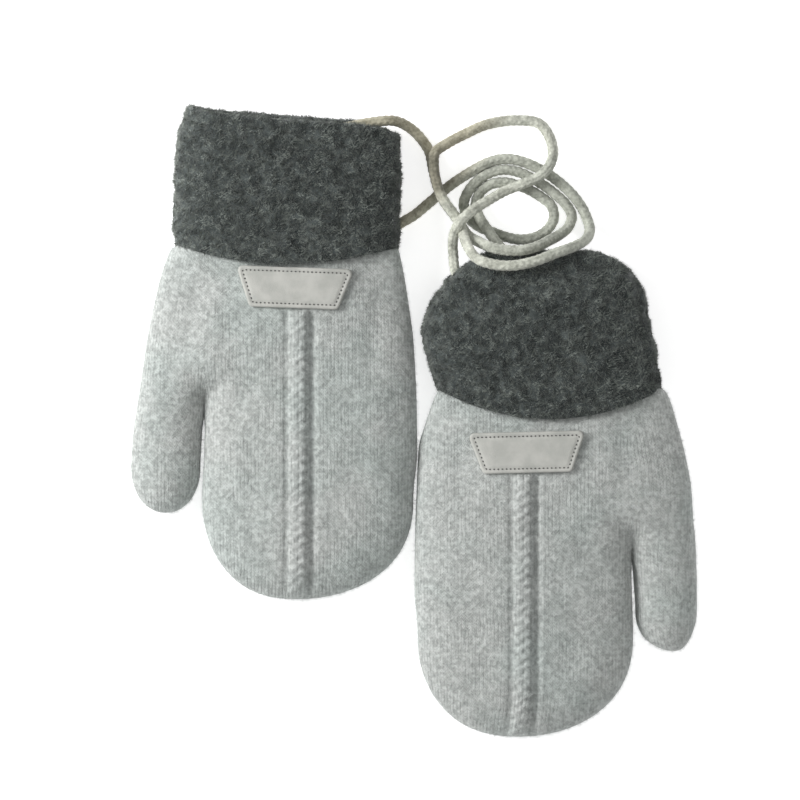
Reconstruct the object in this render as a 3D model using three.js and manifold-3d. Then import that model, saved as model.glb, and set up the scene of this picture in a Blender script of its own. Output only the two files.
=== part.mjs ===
// A pair of baby mittens laid flat, cuffs up, with the knitted cord that joins them.
// Millimetres: X to the right, Y from the fingertips to the cuffs, Z up from the surface that they lie on.
// The origin is under the middle of the pair.
import * as THREE from "three";
import { mergeVertices } from "three/addons/utils/BufferGeometryUtils.js";
import Module from "manifold-3d";

const wasm = await Module();
wasm.setup();

// Cloth
const HAND_WALL = 3; // knit with a deep brushed pile inside
const CUFF_LEAF = 2.4; // the turned-back leaf of the cuff, pile outwards
const FOLD_WALL = 5.8; // both leaves of the cuff together, above the top edge of the hand
const MOUTH_WALL = 4.2; // both leaves where they are pressed at the mouth
const SEAM_GAP = 0.3;

// The form of a section across a mitten that lies flat
const SQUARENESS = 2.7; // exponent of the rounded section, where 2 would be an ellipse
const SIDE_HEIGHT = 0.42; // height of the widest line, as a share of the section's height
const FLATTENED = 1.15; // the underside would be this much deeper if the surface did not flatten it

// The plaited cable down the back of each hand
const PLAIT_PITCH = 5.8;
const STRAND_CROSSING = PLAIT_PITCH / 2;
const LOBE_HIGH = 1.3;
const LOBE_LOW = 0.7;
const CABLE_PROFILE = [
  { across: -4.6, rise: 0 },
  { across: -3.3, rise: -0.6 },
  { across: -2.2, rise: 0.3 },
  { across: -1.1, rise: "left strand" },
  { across: 0, rise: 0.75 },
  { across: 1.1, rise: "right strand" },
  { across: 2.2, rise: 0.3 },
  { across: 3.3, rise: -0.7 },
  { across: 4.6, rise: 0 },
];
const CABLE_HALF_WIDTH = 4.6;
const CABLE_END = 0.25; // length in which the relief ends, at the edge of the patch

// The patch under each cuff, a trapezium that is wider at its top edge
const PATCH = { topWidth: 33.4, bottomWidth: 25, height: 11.6, thick: 1.2, corner: 1.1 };

// Points around a section
const HAND_SIDE_COLUMNS = 7;
const HAND_UNDER_COLUMNS = 9;
const CUFF_COLUMNS = 28;
const THUMB_COLUMNS = 18;
const HOLLOW_COLUMNS = 18;
const TIP_ROWS = [0, 0.12, 0.3, 0.52, 0.76]; // places of the first rows, as shares of the first 8 mm
const TIP_ROWS_LENGTH = 8;

const CORD_DIAMETER = 2.7;

// One mitten is one entry. Each table has a row for each section, from the fingertip up.
// left and right are the edges seen from above, under and high the lowest and highest point.
// A tip is the rounded end: it starts at "from", is "length" long, and ends at tipMiddle.
const MITTENS = [
  {
    name: "left",
    hand: [
      { y: -22.4, left: -60.1, right: -0.2, under: 0, high: 14.6 },
      { y: -8.2, left: -59.5, right: 0.9, under: 0, high: 15.4 },
      { y: 7.2, left: -58.8, right: 0.7, under: 0, high: 15.4 },
      { y: 11.6, left: -77.2, right: 0.5, under: 0, high: 15.4 },
      { y: 23, left: -75.7, right: -0.2, under: 0, high: 15.2 },
      { y: 34.4, left: -73.4, right: -1.7, under: 0.4, high: 14.8 },
      { y: 42.9, left: -71.2, right: -3.1, under: 2.7, high: 14.7 },
      { y: 45.8, left: -69.8, right: -3.9, under: 2.8, high: 14.6 },
      { y: 48.4, left: -65.4, right: -7, under: 2.8, high: 14.6 },
      { y: 58, left: -65.2, right: -7, under: 2.8, high: 14.6 },
    ],
    handTip: { from: -22.4, length: 28.2, power: 2.2, middle: -33.2 },
    thumb: [
      { y: -13, left: -80.4, right: -60.7, under: 0, high: 11.4 },
      { y: -5, left: -79.9, right: -60.3, under: 0, high: 12 },
      { y: 9, left: -77.8, right: -59.7, under: 0, high: 12.6 },
      { y: 16, left: -75.5, right: -60.5, under: 0, high: 12.4 },
      { y: 22, left: -73.6, right: -62, under: 0.4, high: 11 },
    ],
    thumbTip: { from: -13, length: 13.1, power: 2.1, middle: -70.6 },
    crease: { top: 9.4, topX: -59.2, bottom: -27, bottomX: -61.1 },
    seamSlope: 0.06,
    cable: { x: -32.5, from: 31.2 },
    patch: { x: -33.7, y: 37.6, turn: -0.035 },
    cuff: {
      low: 49,
      bow: 4.8,
      mouth: 87,
      tilt: -2.2,
      cornerLeft: -0.35,
      cornerRight: 3,
      lip: 1.8,
      rows: [
        { y: 46, left: -68.5, right: -3.9, under: 0, high: 17.4 },
        { y: 57, left: -68.9, right: -3.4, under: 0, high: 18 },
        { y: 68.4, left: -68.6, right: -3.2, under: 0, high: 17.6 },
        { y: 77, left: -68, right: -3, under: 0, high: 16.8 },
        { y: 87, left: -65.6, right: -3.2, under: 0, high: 14.9 },
      ],
    },
  },
  {
    name: "right",
    hand: [
      { y: -61.1, left: 1, right: 62.2, under: 0, high: 14.6 },
      { y: -47.4, left: 0.2, right: 61.8, under: 0, high: 15.4 },
      { y: -34.2, left: 0.3, right: 61.2, under: 0, high: 15.4 },
      { y: -29, left: 0.4, right: 79.2, under: 0, high: 15.4 },
      { y: -18.5, left: 0.8, right: 78.6, under: 0, high: 15.2 },
      { y: -8, left: 1.3, right: 76.6, under: 0.4, high: 14.8 },
      { y: 0, left: 3.5, right: 74.4, under: 2.7, high: 14.7 },
      { y: 5, left: 5.4, right: 72.7, under: 2.8, high: 14.6 },
      { y: 8, left: 9.8, right: 67, under: 2.8, high: 14.6 },
      { y: 18, left: 7, right: 65.8, under: 2.8, high: 14.6 },
    ],
    handTip: { from: -61.1, length: 28.5, power: 2.2, middle: 29.4 },
    thumb: [
      { y: -54, left: 62.9, right: 80.4, under: 0, high: 11.4 },
      { y: -44, left: 62.3, right: 80.3, under: 0, high: 12 },
      { y: -32, left: 61.9, right: 79.8, under: 0, high: 12.6 },
      { y: -25, left: 62.8, right: 78.8, under: 0, high: 12.4 },
      { y: -19, left: 64.6, right: 76.8, under: 0.4, high: 11 },
    ],
    thumbTip: { from: -54, length: 11.4, power: 2, middle: 73.6 },
    crease: { top: -31.6, topX: 61.5, bottom: -66, bottomX: 63.2 },
    seamSlope: -0.06,
    cable: { x: 30.9, from: -15 },
    patch: { x: 31.8, y: -8.8, turn: 0.024 },
    cuff: {
      low: 8.7,
      bow: 8.2,
      mouth: 48.6,
      tilt: 0,
      cornerLeft: 5,
      cornerRight: 5,
      lip: 0.6,
      rows: [
        { y: 8, left: 6, right: 70.9, under: 0, high: 17.4 },
        { y: 13, left: 4.5, right: 70.2, under: 0, high: 17.8 },
        { y: 25.6, left: 1.7, right: 68.4, under: 0, high: 18 },
        { y: 33.2, left: 2.9, right: 66.8, under: 0, high: 17.6 },
        { y: 38.6, left: 4.9, right: 66, under: 0, high: 16.9 },
        { y: 42.2, left: 7, right: 64.9, under: 0, high: 16.2 },
        { y: 45.5, left: 9.7, right: 63.4, under: 0, high: 15.5 },
        { y: 49, left: 12.4, right: 61.5, under: 0, high: 14.9 },
      ],
    },
  },
];

// The cord lies between the cuffs in two stretches. Each route is the line that its middle follows.
const INNER_ROUTE = [
  [-24, 83.8, 6.4],
  [-16, 84.2, 6.5],
  [-10.2, 85, 6.6],
  [-5.8, 85.3, 5.6],
  [-2.6, 84.3, 3.6],
  [0.7, 81.9, 1.8],
  [4.2, 77.2, 1.5],
  [5.4, 72, 2.8],
  [6.2, 68.4, 4.6],
  [7.3, 64.9, 5],
  [9, 61.8, 4.2],
  [11, 59.2, 3.2],
  [12.8, 56.6, 3.6],
  [15, 53, 6.6],
  [18.4, 50.6, 12],
  [22, 48.9, 15.8],
  [26, 48.1, 16.8],
  [30.6, 48.1, 16.7],
  [34.6, 49.2, 14.9],
  [38, 51, 10.4],
  [41.4, 53, 5.2],
  [43.4, 55.4, 2.2],
  [44.2, 58.5, 1.5],
  [43.2, 61.9, 1.5],
  [40.8, 64.2, 1.5],
  [37.8, 66.6, 1.5],
  [34.4, 68.7, 1.5],
  [30.7, 70.6, 1.5],
  [26.7, 71.6, 1.5],
  [22.7, 71.1, 1.5],
  [18.7, 69, 1.5],
  [15.6, 65.6, 1.5],
  [14.2, 61.9, 1.5],
  [15.4, 58.2, 1.5],
  [18.5, 55.4, 1.5],
  [22.7, 53.7, 1.5],
  [26.4, 52.4, 1.5],
  [30.4, 51.7, 1.5],
  [34.9, 52.5, 1.5],
  [38.2, 54.7, 1.5],
  [39.9, 57.9, 1.5],
  [39.2, 61.3, 1.5],
  [36.6, 63.6, 1.5],
  [33.2, 65.7, 1.5],
  [29.5, 67.2, 1.5],
  [25.6, 68, 1.5],
  [21.6, 67.3, 1.5],
  [18.8, 65, 1.5],
  [17.6, 61.6, 2],
  [18.6, 58, 4],
  [20.6, 54.8, 5],
  [22.6, 51.8, 5.6],
  [24.8, 49, 6.3],
  [26.4, 46.4, 6.7],
  [27.6, 43.4, 6.9],
];
const OUTER_ROUTE = [
  [11.4, 44.5, 5.6],
  [11.2, 47, 5.4],
  [11, 49.6, 6],
  [11.2, 52.4, 8.6],
  [12.4, 55.4, 11.2],
  [15.6, 58.9, 10.4],
  [21.4, 62.8, 6.6],
  [26, 65.4, 5],
  [30.4, 67.2, 4.7],
  [35.4, 69.4, 4.7],
  [38.4, 72.4, 4.7],
  [39.6, 76.4, 2.4],
  [38.6, 81, 1.5],
  [35.6, 84.8, 1.5],
  [29, 85.7, 1.5],
  [20.8, 84.5, 1.5],
  [14.4, 81.7, 1.6],
  [9.2, 78.8, 3.4],
  [6, 76.2, 5.5],
  [5.7, 72, 6.5],
  [6.2, 68.4, 8.1],
  [7.3, 64.9, 8.3],
  [9, 61.8, 7.9],
  [11, 59.2, 7],
  [13, 56, 7.8],
  [14, 52.6, 10.8],
  [15.2, 49, 15.6],
  [17.4, 45.9, 18],
  [22, 44.1, 18.8],
  [27.4, 43.7, 19],
  [34, 45, 18.7],
  [39.6, 47.2, 17.7],
  [44.4, 49, 15.2],
  [48.4, 51.2, 9.6],
  [50, 54.2, 4],
  [49.4, 57.4, 1.8],
  [47.9, 60.8, 1.5],
  [45.7, 63.9, 1.5],
  [43.2, 66.5, 1.5],
  [39.8, 69.3, 1.5],
  [36.1, 71.6, 1.5],
  [31.8, 73.6, 1.5],
  [26.7, 74.7, 1.5],
  [21.6, 73.8, 1.5],
  [13, 69, 1.5],
  [9.4, 66.4, 1.5],
  [4.6, 62.4, 1.5],
  [0, 58.6, 1.5],
  [-3.6, 56.5, 1.6],
];
const CORD_STEP = 8.2;
const CORD_SIDES = 8;

const knitGrey = new THREE.MeshStandardMaterial({ color: 0xb3b9b5, roughness: 0.95, metalness: 0 });
const plushGrey = new THREE.MeshStandardMaterial({ color: 0x4e5553, roughness: 1, metalness: 0 });
const patchGrey = new THREE.MeshStandardMaterial({ color: 0xbabab2, roughness: 0.6, metalness: 0 });
const cordBeige = new THREE.MeshStandardMaterial({ color: 0xb9b9ac, roughness: 0.95, metalness: 0 });

function power(value, exponent) {
  return Math.sign(value) * Math.abs(value) ** exponent;
}

// A value of one column at a height between rows: a smooth curve that never passes a row's own value.
function columnAt(rows, column, y) {
  const last = rows.length - 1;
  if (y <= rows[0].y) return rows[0][column];
  if (y >= rows[last].y) return rows[last][column];
  const k = rows.findIndex((row) => row.y > y) - 1;
  const slope = (i) => (rows[i + 1][column] - rows[i][column]) / (rows[i + 1].y - rows[i].y);
  const tangent = (i) => {
    if (i === 0 || i === last) return 0;
    const before = slope(i - 1);
    const after = slope(i);
    return before * after <= 0 ? 0 : (2 * before * after) / (before + after);
  };
  const span = rows[k + 1].y - rows[k].y;
  const s = (y - rows[k].y) / span;
  const start = (1 + 2 * s) * (1 - s) ** 2 * rows[k][column];
  const end = s * s * (3 - 2 * s) * rows[k + 1][column];
  return start + end + span * (s * (1 - s) ** 2 * tangent(k) + s * s * (s - 1) * tangent(k + 1));
}

// The section of a table at one place, with its rounded tip where the table has one.
function sectionAt(rows, tip, y, inset = 0) {
  const left = columnAt(rows, "left", y);
  const right = columnAt(rows, "right", y);
  const under = columnAt(rows, "under", y);
  const high = columnAt(rows, "high", y);
  const section = {
    y,
    middle: (left + right) / 2,
    half: (right - left) / 2 - inset,
    under: under + inset,
    high: high - inset,
  };
  section.side = under + SIDE_HEIGHT * (high - under);
  if (!tip || y >= tip.from) return section;
  const along = Math.min(1, (tip.from - y) / (tip.length - inset));
  section.half *= (1 - along ** tip.power) ** (1 / tip.power);
  section.middle += (tip.middle - section.middle) * along ** 4;
  section.high = section.side + (section.high - section.side) * (1 - along ** 2.4) ** (1 / 2.4);
  section.under = section.side - (section.side - section.under) * (1 - along ** 4) ** (1 / 4);
  return section;
}

// A point of a section: turn runs from the right edge over the top to the left edge and back underneath.
function sectionPoint(section, turn) {
  const across = power(Math.cos(turn), 2 / SQUARENESS);
  const upright = power(Math.sin(turn), 2 / SQUARENESS);
  const dome = section.side + upright * (section.high - section.side);
  const base = section.side + FLATTENED * upright * (section.side - section.under);
  const z = upright > 0 ? dome : Math.max(section.under, base);
  return new THREE.Vector3(section.middle + section.half * across, section.y, z);
}

function turnAt(section, x) {
  const across = THREE.MathUtils.clamp((x - section.middle) / section.half, -1, 1);
  return Math.acos(power(across, SQUARENESS / 2));
}

function topAt(section, x) {
  return sectionPoint(section, turnAt(section, x)).z;
}

function evenTurns(count) {
  return Array.from({ length: count }, (_, i) => (2 * Math.PI * i) / count);
}

// A closed solid through rings of points. A closed loft joins its last ring to its first, and an open
// one gets a cap on each end.
function loft(rings, closed = false) {
  const positions = rings.flat().flatMap((p) => [p.x, p.y, p.z]);
  const count = rings[0].length;
  const faces = [];
  const rounds = closed ? rings.length : rings.length - 1;
  for (let i = 0; i < rounds; i++) {
    const a = i * count;
    const b = ((i + 1) % rings.length) * count;
    for (let j = 0; j < count; j++) {
      const k = (j + 1) % count;
      faces.push(a + j, b + j, b + k, a + j, b + k, a + k);
    }
  }
  if (!closed) {
    [0, rings.length - 1].forEach((ring, end) => {
      const centre = new THREE.Vector3();
      rings[ring].forEach((p) => centre.addScaledVector(p, 1 / count));
      const hub = positions.length / 3;
      positions.push(centre.x, centre.y, centre.z);
      for (let j = 0; j < count; j++) {
        const a = ring * count + j;
        const b = ring * count + ((j + 1) % count);
        faces.push(...(end === 0 ? [hub, a, b] : [hub, b, a]));
      }
    });
  }
  return outwards(positions, faces);
}

// A geometry whose faces point out of the solid.
function outwards(positions, faces) {
  const corner = (i) => new THREE.Vector3().fromArray(positions, 3 * i);
  let volume = 0;
  for (let i = 0; i < faces.length; i += 3) {
    volume += corner(faces[i]).dot(corner(faces[i + 1]).cross(corner(faces[i + 2])));
  }
  if (volume < 0) faces.reverse();
  const geometry = new THREE.BufferGeometry();
  geometry.setAttribute("position", new THREE.Float32BufferAttribute(positions, 3));
  geometry.setIndex(faces);
  return geometry;
}

function solidOf(geometry) {
  const bare = geometry.clone();
  bare.deleteAttribute("normal");
  bare.deleteAttribute("uv");
  const merged = mergeVertices(bare, 1e-4);
  return new wasm.Manifold(
    new wasm.Mesh({
      numProp: 3,
      vertProperties: merged.attributes.position.array,
      triVerts: new Uint32Array(merged.index.array),
    }),
  );
}

function geometryOf(solid) {
  const mesh = solid.getMesh();
  const geometry = new THREE.BufferGeometry();
  geometry.setAttribute("position", new THREE.Float32BufferAttribute(mesh.vertProperties, 3));
  geometry.setIndex(new THREE.Uint32BufferAttribute(mesh.triVerts, 1));
  return geometry;
}

// One ring of the hand, with extra columns that carry the cable's relief.
function handRing(mitten, y, row) {
  const section = sectionAt(mitten.hand, mitten.handTip, y);
  const cable = mitten.cable;
  const follow = THREE.MathUtils.clamp((mitten.handTip.from - y) / mitten.handTip.length, 0, 1) ** 4;
  const centre = THREE.MathUtils.lerp(cable.x, mitten.handTip.middle, follow);
  const squeeze = Math.min(1, (0.7 * section.half) / CABLE_HALF_WIDTH);
  const strength = y < cable.from ? Math.min(1, section.half / 20) : 0;
  const leftHigh = row % 2 === 0;
  const strands = {
    "left strand": leftHigh ? LOBE_HIGH : LOBE_LOW,
    "right strand": leftHigh ? LOBE_LOW : LOBE_HIGH,
  };
  const edge = CABLE_HALF_WIDTH * squeeze;
  const rightTurn = turnAt(section, centre + edge);
  const leftTurn = turnAt(section, centre - edge);
  const ring = [];
  for (let i = 0; i < HAND_SIDE_COLUMNS; i++) {
    ring.push(sectionPoint(section, (rightTurn * i) / HAND_SIDE_COLUMNS));
  }
  for (const { across, rise } of [...CABLE_PROFILE].reverse()) {
    const point = sectionPoint(section, turnAt(section, centre + across * squeeze));
    point.z += strength * (strands[rise] ?? rise);
    ring.push(point);
  }
  for (let i = 1; i <= HAND_SIDE_COLUMNS; i++) {
    const turn = leftTurn + ((Math.PI - leftTurn) * i) / HAND_SIDE_COLUMNS;
    ring.push(sectionPoint(section, turn));
  }
  for (let i = 1; i <= HAND_UNDER_COLUMNS; i++) {
    ring.push(sectionPoint(section, Math.PI * (1 + i / (HAND_UNDER_COLUMNS + 1))));
  }
  return ring;
}

// The places of the hand's rows: close together at the tip, then one at each crossing of the plait,
// and wider apart above the cable.
function handRows(mitten) {
  const tip = mitten.handTip.from - mitten.handTip.length;
  const rows = TIP_ROWS.map((share) => tip + 0.05 + share * TIP_ROWS_LENGTH);
  for (let y = tip + TIP_ROWS_LENGTH; y < mitten.cable.from; y += STRAND_CROSSING) rows.push(y);
  rows.push(mitten.cable.from + CABLE_END);
  mitten.hand.filter((row) => row.y > mitten.cable.from + 2).forEach((row) => rows.push(row.y));
  return rows;
}

function handSolid(mitten) {
  return solidOf(loft(handRows(mitten).map((y, row) => handRing(mitten, y, row))));
}

// The hollow inside a table's sections. It runs past the open end of the hand.
function hollowSolid(rows, tip, past, step) {
  const start = tip.from - tip.length + HAND_WALL;
  const end = rows[rows.length - 1].y + past;
  const places = [0.05, 0.8, 2.4].map((ahead) => start + ahead);
  for (let y = start + 5; y < end; y += step) places.push(y);
  places.push(end);
  const turns = evenTurns(HOLLOW_COLUMNS);
  const rings = places.map((y) => {
    const section = sectionAt(rows, tip, y, HAND_WALL);
    return turns.map((turn) => sectionPoint(section, turn));
  });
  return solidOf(loft(rings));
}

function thumbSolid(mitten) {
  const { thumb, thumbTip } = mitten;
  const start = thumbTip.from - thumbTip.length;
  const end = thumb[thumb.length - 1].y;
  const places = [0.05, 0.7, 2, 4, 6.6, 9.6, 12.8].map((ahead) => start + ahead);
  for (let y = start + 16.5; y < end; y += 4.6) places.push(y);
  places.push(end);
  const turns = evenTurns(THUMB_COLUMNS);
  const rings = places.map((y) => {
    const section = sectionAt(thumb, thumbTip, y);
    return turns.map((turn) => sectionPoint(section, turn));
  });
  return solidOf(loft(rings));
}

// A prism that holds the thumb up to its seam: the seam crosses the thumb's base and the crease runs
// down beside the hand.
function thumbRegion(mitten, growth) {
  const { crease, seamSlope, name } = mitten;
  const outer = name === "left" ? -1 : 1;
  const top = crease.top + growth;
  const reach = crease.topX + outer * 30;
  const shape = new THREE.Shape([
    new THREE.Vector2(crease.topX - outer * growth, top),
    new THREE.Vector2(reach, top + seamSlope * (crease.topX - reach)),
    new THREE.Vector2(reach, crease.bottom - growth),
    new THREE.Vector2(crease.bottomX - outer * growth, crease.bottom - growth),
  ]);
  const prism = new THREE.ExtrudeGeometry(shape, { depth: 40, bevelEnabled: false });
  prism.translate(0, 0, -10);
  return solidOf(prism);
}

// The cuff's wall in section, once round: up the outside, over the fold at the mouth, down the inside to
// the hand's top edge, out past it, and down to the lower edge again.
function cuffProfile(mitten) {
  const { low, mouth } = mitten.cuff;
  const handTop = mitten.hand[mitten.hand.length - 1].y;
  return [
    { y: low, inset: CUFF_LEAF * 0.5 },
    { y: low + 0.5, inset: CUFF_LEAF * 0.15 },
    { y: low + 1.9, inset: 0 },
    { y: low + 6, inset: 0 },
    { y: low + 11, inset: 0 },
    { y: low + 17, inset: 0 },
    { y: low + 23, inset: 0 },
    { y: mouth - 9, inset: 0 },
    { y: mouth - 4.6, inset: 0 },
    { y: mouth - 2, inset: 0.3 },
    { y: mouth - 0.5, inset: MOUTH_WALL * 0.27 },
    { y: mouth, inset: MOUTH_WALL * 0.5 },
    { y: mouth - 0.5, inset: MOUTH_WALL * 0.76 },
    { y: mouth - 2.2, inset: MOUTH_WALL },
    { y: mouth - 9, inset: (MOUTH_WALL + FOLD_WALL) / 2 },
    { y: handTop + 6, inset: FOLD_WALL },
    { y: handTop + SEAM_GAP, inset: FOLD_WALL },
    { y: handTop + SEAM_GAP, inset: CUFF_LEAF },
    { y: low + 2.4, inset: CUFF_LEAF },
    { y: low + 0.6, inset: CUFF_LEAF * 0.86 },
  ];
}

// How far a point of the cuff is moved along the mitten: the lower edge bows down in the middle, and the
// mouth is tilted, round at its corners, and a little lower in its upper layer.
function cuffShift(mitten, y, turn) {
  const { low, bow, mouth, tilt, cornerLeft, cornerRight, lip } = mitten.cuff;
  const handTop = mitten.hand[mitten.hand.length - 1].y;
  const across = power(Math.cos(turn), 2 / SQUARENESS);
  if (y < handTop) return (-bow * (1 - across ** 2) * (handTop - y)) / (handTop - low);
  const towardsMouth = Math.max(0, (y - handTop - 4) / (mouth - handTop - 4));
  const round = Math.max(0, (Math.abs(across) - 0.55) / 0.45) ** 2;
  const corner = across < 0 ? cornerLeft : cornerRight;
  const upper = Math.max(0, Math.sin(turn));
  return towardsMouth * (tilt * across - corner * round) - towardsMouth ** 3 * lip * upper;
}

function cuffGeometry(mitten) {
  const turns = evenTurns(CUFF_COLUMNS);
  const rings = cuffProfile(mitten).map(({ y, inset }) => {
    const section = sectionAt(mitten.cuff.rows, null, y, inset);
    return turns.map((turn) => {
      const point = sectionPoint(section, turn);
      point.y += cuffShift(mitten, y, turn);
      return point;
    });
  });
  return loft(rings, true);
}

// The patch follows the back of the hand: its points are the hand's own, moved out.
function patchGeometry(mitten) {
  const { x, y, turn } = mitten.patch;
  const columns = 13;
  const rows = 5;
  const outline = [];
  for (let j = 0; j < rows; j++) {
    for (let i = 0; i < columns; i++) {
      const u = (2 * i) / (columns - 1) - 1;
      const v = (2 * j) / (rows - 1) - 1;
      const width = THREE.MathUtils.lerp(PATCH.bottomWidth, PATCH.topWidth, (v + 1) / 2);
      const atCorner = Math.abs(u) === 1 && Math.abs(v) === 1;
      const pull = atCorner ? PATCH.corner : 0;
      const along = (width / 2) * u - Math.sign(u) * pull * 0.6;
      const up = (PATCH.height / 2) * v - Math.sign(v) * pull * 0.4;
      const px = x + along * Math.cos(turn) - up * Math.sin(turn);
      const py = y + along * Math.sin(turn) + up * Math.cos(turn);
      const z = topAt(sectionAt(mitten.hand, mitten.handTip, py), px);
      outline.push(new THREE.Vector3(px, py, z));
    }
  }
  const count = outline.length;
  const positions = [SEAM_GAP, SEAM_GAP + PATCH.thick].flatMap((rise) =>
    outline.flatMap((p) => [p.x, p.y, p.z + rise]),
  );
  const faces = [];
  const quad = (a, b, c, d) => faces.push(a, b, c, a, c, d);
  for (let j = 0; j < rows - 1; j++) {
    for (let i = 0; i < columns - 1; i++) {
      const a = j * columns + i;
      quad(a, a + columns, a + columns + 1, a + 1);
      quad(count + a, count + a + 1, count + a + columns + 1, count + a + columns);
    }
  }
  for (let i = 0; i < columns - 1; i++) {
    const low = i;
    const high = (rows - 1) * columns + i;
    quad(low, low + 1, count + low + 1, count + low);
    quad(high + 1, high, count + high, count + high + 1);
  }
  for (let j = 0; j < rows - 1; j++) {
    const left = j * columns;
    const right = left + columns - 1;
    quad(left + columns, left, count + left, count + left + columns);
    quad(right, right + columns, count + right + columns, count + right);
  }
  return outwards(positions, faces);
}

function cordGeometry(route) {
  const path = new THREE.CatmullRomCurve3(route.map((p) => new THREE.Vector3(...p)), false, "centripetal");
  const section = new THREE.Shape(
    Array.from({ length: CORD_SIDES }, (_, i) => {
      const angle = (2 * Math.PI * i) / CORD_SIDES;
      return new THREE.Vector2(Math.cos(angle), Math.sin(angle)).multiplyScalar(CORD_DIAMETER / 2);
    }),
  );
  const steps = Math.round(path.getLength() / CORD_STEP);
  return new THREE.ExtrudeGeometry(section, { steps, extrudePath: path, bevelEnabled: false });
}

const pair = new THREE.Group();

function addPiece(name, geometry, material) {
  const mesh = new THREE.Mesh(geometry, material);
  mesh.name = name;
  pair.add(mesh);
}

for (const mitten of MITTENS) {
  const cloth = handSolid(mitten)
    .add(thumbSolid(mitten))
    .subtract(hollowSolid(mitten.hand, mitten.handTip, 2, 6))
    .subtract(hollowSolid(mitten.thumb, mitten.thumbTip, 1, 6));
  const hand = cloth.subtract(thumbRegion(mitten, SEAM_GAP));
  const thumb = cloth.intersect(thumbRegion(mitten, 0));
  addPiece(`${mitten.name}_hand`, geometryOf(hand), knitGrey);
  addPiece(`${mitten.name}_thumb`, geometryOf(thumb), knitGrey);
  addPiece(`${mitten.name}_cuff`, cuffGeometry(mitten), plushGrey);
  addPiece(`${mitten.name}_patch`, patchGeometry(mitten), patchGrey);
}
addPiece("cord_inner", cordGeometry(INNER_ROUTE), cordBeige);
addPiece("cord_outer", cordGeometry(OUTER_ROUTE), cordBeige);

export default pair;
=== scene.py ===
# %% [markdown]
# A pair of baby mittens laid flat: knitted hands with a brushed face, dark plush cuffs turned back over
# them, a small blank patch on each back, and a limp knitted cord between the cuffs.
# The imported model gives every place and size. It is loaded first and never changed. A piece here is a finer
# form of one or two of its nodes and takes their place, or it is the nap or the stitching on such a piece.

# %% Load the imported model
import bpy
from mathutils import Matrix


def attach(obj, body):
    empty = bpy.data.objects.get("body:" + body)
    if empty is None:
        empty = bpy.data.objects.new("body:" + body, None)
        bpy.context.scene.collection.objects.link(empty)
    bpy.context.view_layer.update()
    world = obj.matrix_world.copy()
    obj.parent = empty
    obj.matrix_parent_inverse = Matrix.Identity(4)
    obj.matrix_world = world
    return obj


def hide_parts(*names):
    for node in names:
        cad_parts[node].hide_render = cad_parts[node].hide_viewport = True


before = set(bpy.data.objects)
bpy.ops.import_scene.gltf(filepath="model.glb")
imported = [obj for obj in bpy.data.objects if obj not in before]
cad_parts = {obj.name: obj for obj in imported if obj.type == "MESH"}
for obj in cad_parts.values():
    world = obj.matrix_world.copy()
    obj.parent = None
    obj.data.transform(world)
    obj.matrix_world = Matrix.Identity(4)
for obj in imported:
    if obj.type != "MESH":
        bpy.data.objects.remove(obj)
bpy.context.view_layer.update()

import math

import bpy
import numpy as np
from mathutils import Vector

MM = 0.001
TURN = 2 * math.pi
BODY = "root"

# %% [markdown]
# The photograph looks straight down on the pair. A long lens from about a metre keeps the outlines nearly
# parallel, as they are there. One pixel of the 800 pixel frame is 0.284 mm on the mittens, so the view is
# 227 mm wide at the height of their widest line, and the point under its middle follows from that.

# %% Camera
PIXEL = 0.284 * MM
FRAME_PIXELS = 800
ORIGIN_PIXEL = (414, 421)
WIDEST_LINE = 6 * MM
CAMERA_DISTANCE = 1.15

camera_data = bpy.data.cameras.new("camera")
camera_data.sensor_width = 36
camera_data.lens = camera_data.sensor_width * CAMERA_DISTANCE / (FRAME_PIXELS * PIXEL)
camera = bpy.data.objects.new("camera", camera_data)
camera.location = ((FRAME_PIXELS / 2 - ORIGIN_PIXEL[0]) * PIXEL,
                   (ORIGIN_PIXEL[1] - FRAME_PIXELS / 2) * PIXEL, WIDEST_LINE + CAMERA_DISTANCE)
bpy.context.scene.collection.objects.link(camera)
bpy.context.scene.camera = camera
print("lens in mm:", round(camera_data.lens, 1))

# %% [markdown]
# Shader maths reads best as plain expressions. One small class wraps a socket, and each Python operator on
# it adds a Math node. Colours are mixed with a Mix node, because a Math node would turn them grey.

# %% Shader expressions
OBJECT_PLACE = 3  # output of the Texture Coordinate node
SURFACE_NORMAL = 1  # output of the Geometry node


class Sock:
    """A number, vector or colour output of a material's node tree."""

    def __init__(self, tree, socket):
        self.tree = tree
        self.socket = socket

    def math(self, operation, *others):
        return make(self.tree, "ShaderNodeMath", {"operation": operation}, [self, *others])

    def __add__(self, other):
        return self.math("ADD", other)

    def __sub__(self, other):
        return self.math("SUBTRACT", other)

    def __mul__(self, other):
        return self.math("MULTIPLY", other)

    def __truediv__(self, other):
        return self.math("DIVIDE", other)

    def __rsub__(self, other):
        return self * -1 + other

    def smooth(self, low, high):
        return make(self.tree, "ShaderNodeMapRange", {"interpolation_type": "SMOOTHSTEP"},
                    [self, low, high, 0, 1])

    def axis(self, number):
        return make(self.tree, "ShaderNodeSeparateXYZ", {}, [self], number)


def make(tree, kind, settings, values, output=0):
    """One node: its settings first, then the values or links of its inputs, by place or by name."""
    node = tree.nodes.new(kind)
    for name, value in settings.items():
        setattr(node, name, value)
    for key, value in values.items() if isinstance(values, dict) else enumerate(values):
        if isinstance(value, Sock):
            tree.links.new(value.socket, node.inputs[key])
        else:
            node.inputs[key].default_value = value
    return Sock(tree, node.outputs[output])


def mixed(factor, first, second):
    """A colour between two colours. The Mix node's colours are its inputs 6 and 7 and its output 2."""
    first, second = (colour if isinstance(colour, Sock) else (*colour, 1) for colour in (first, second))
    return make(factor.tree, "ShaderNodeMix", {"data_type": "RGBA"}, {0: factor, 6: first, 7: second}, 2)


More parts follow.
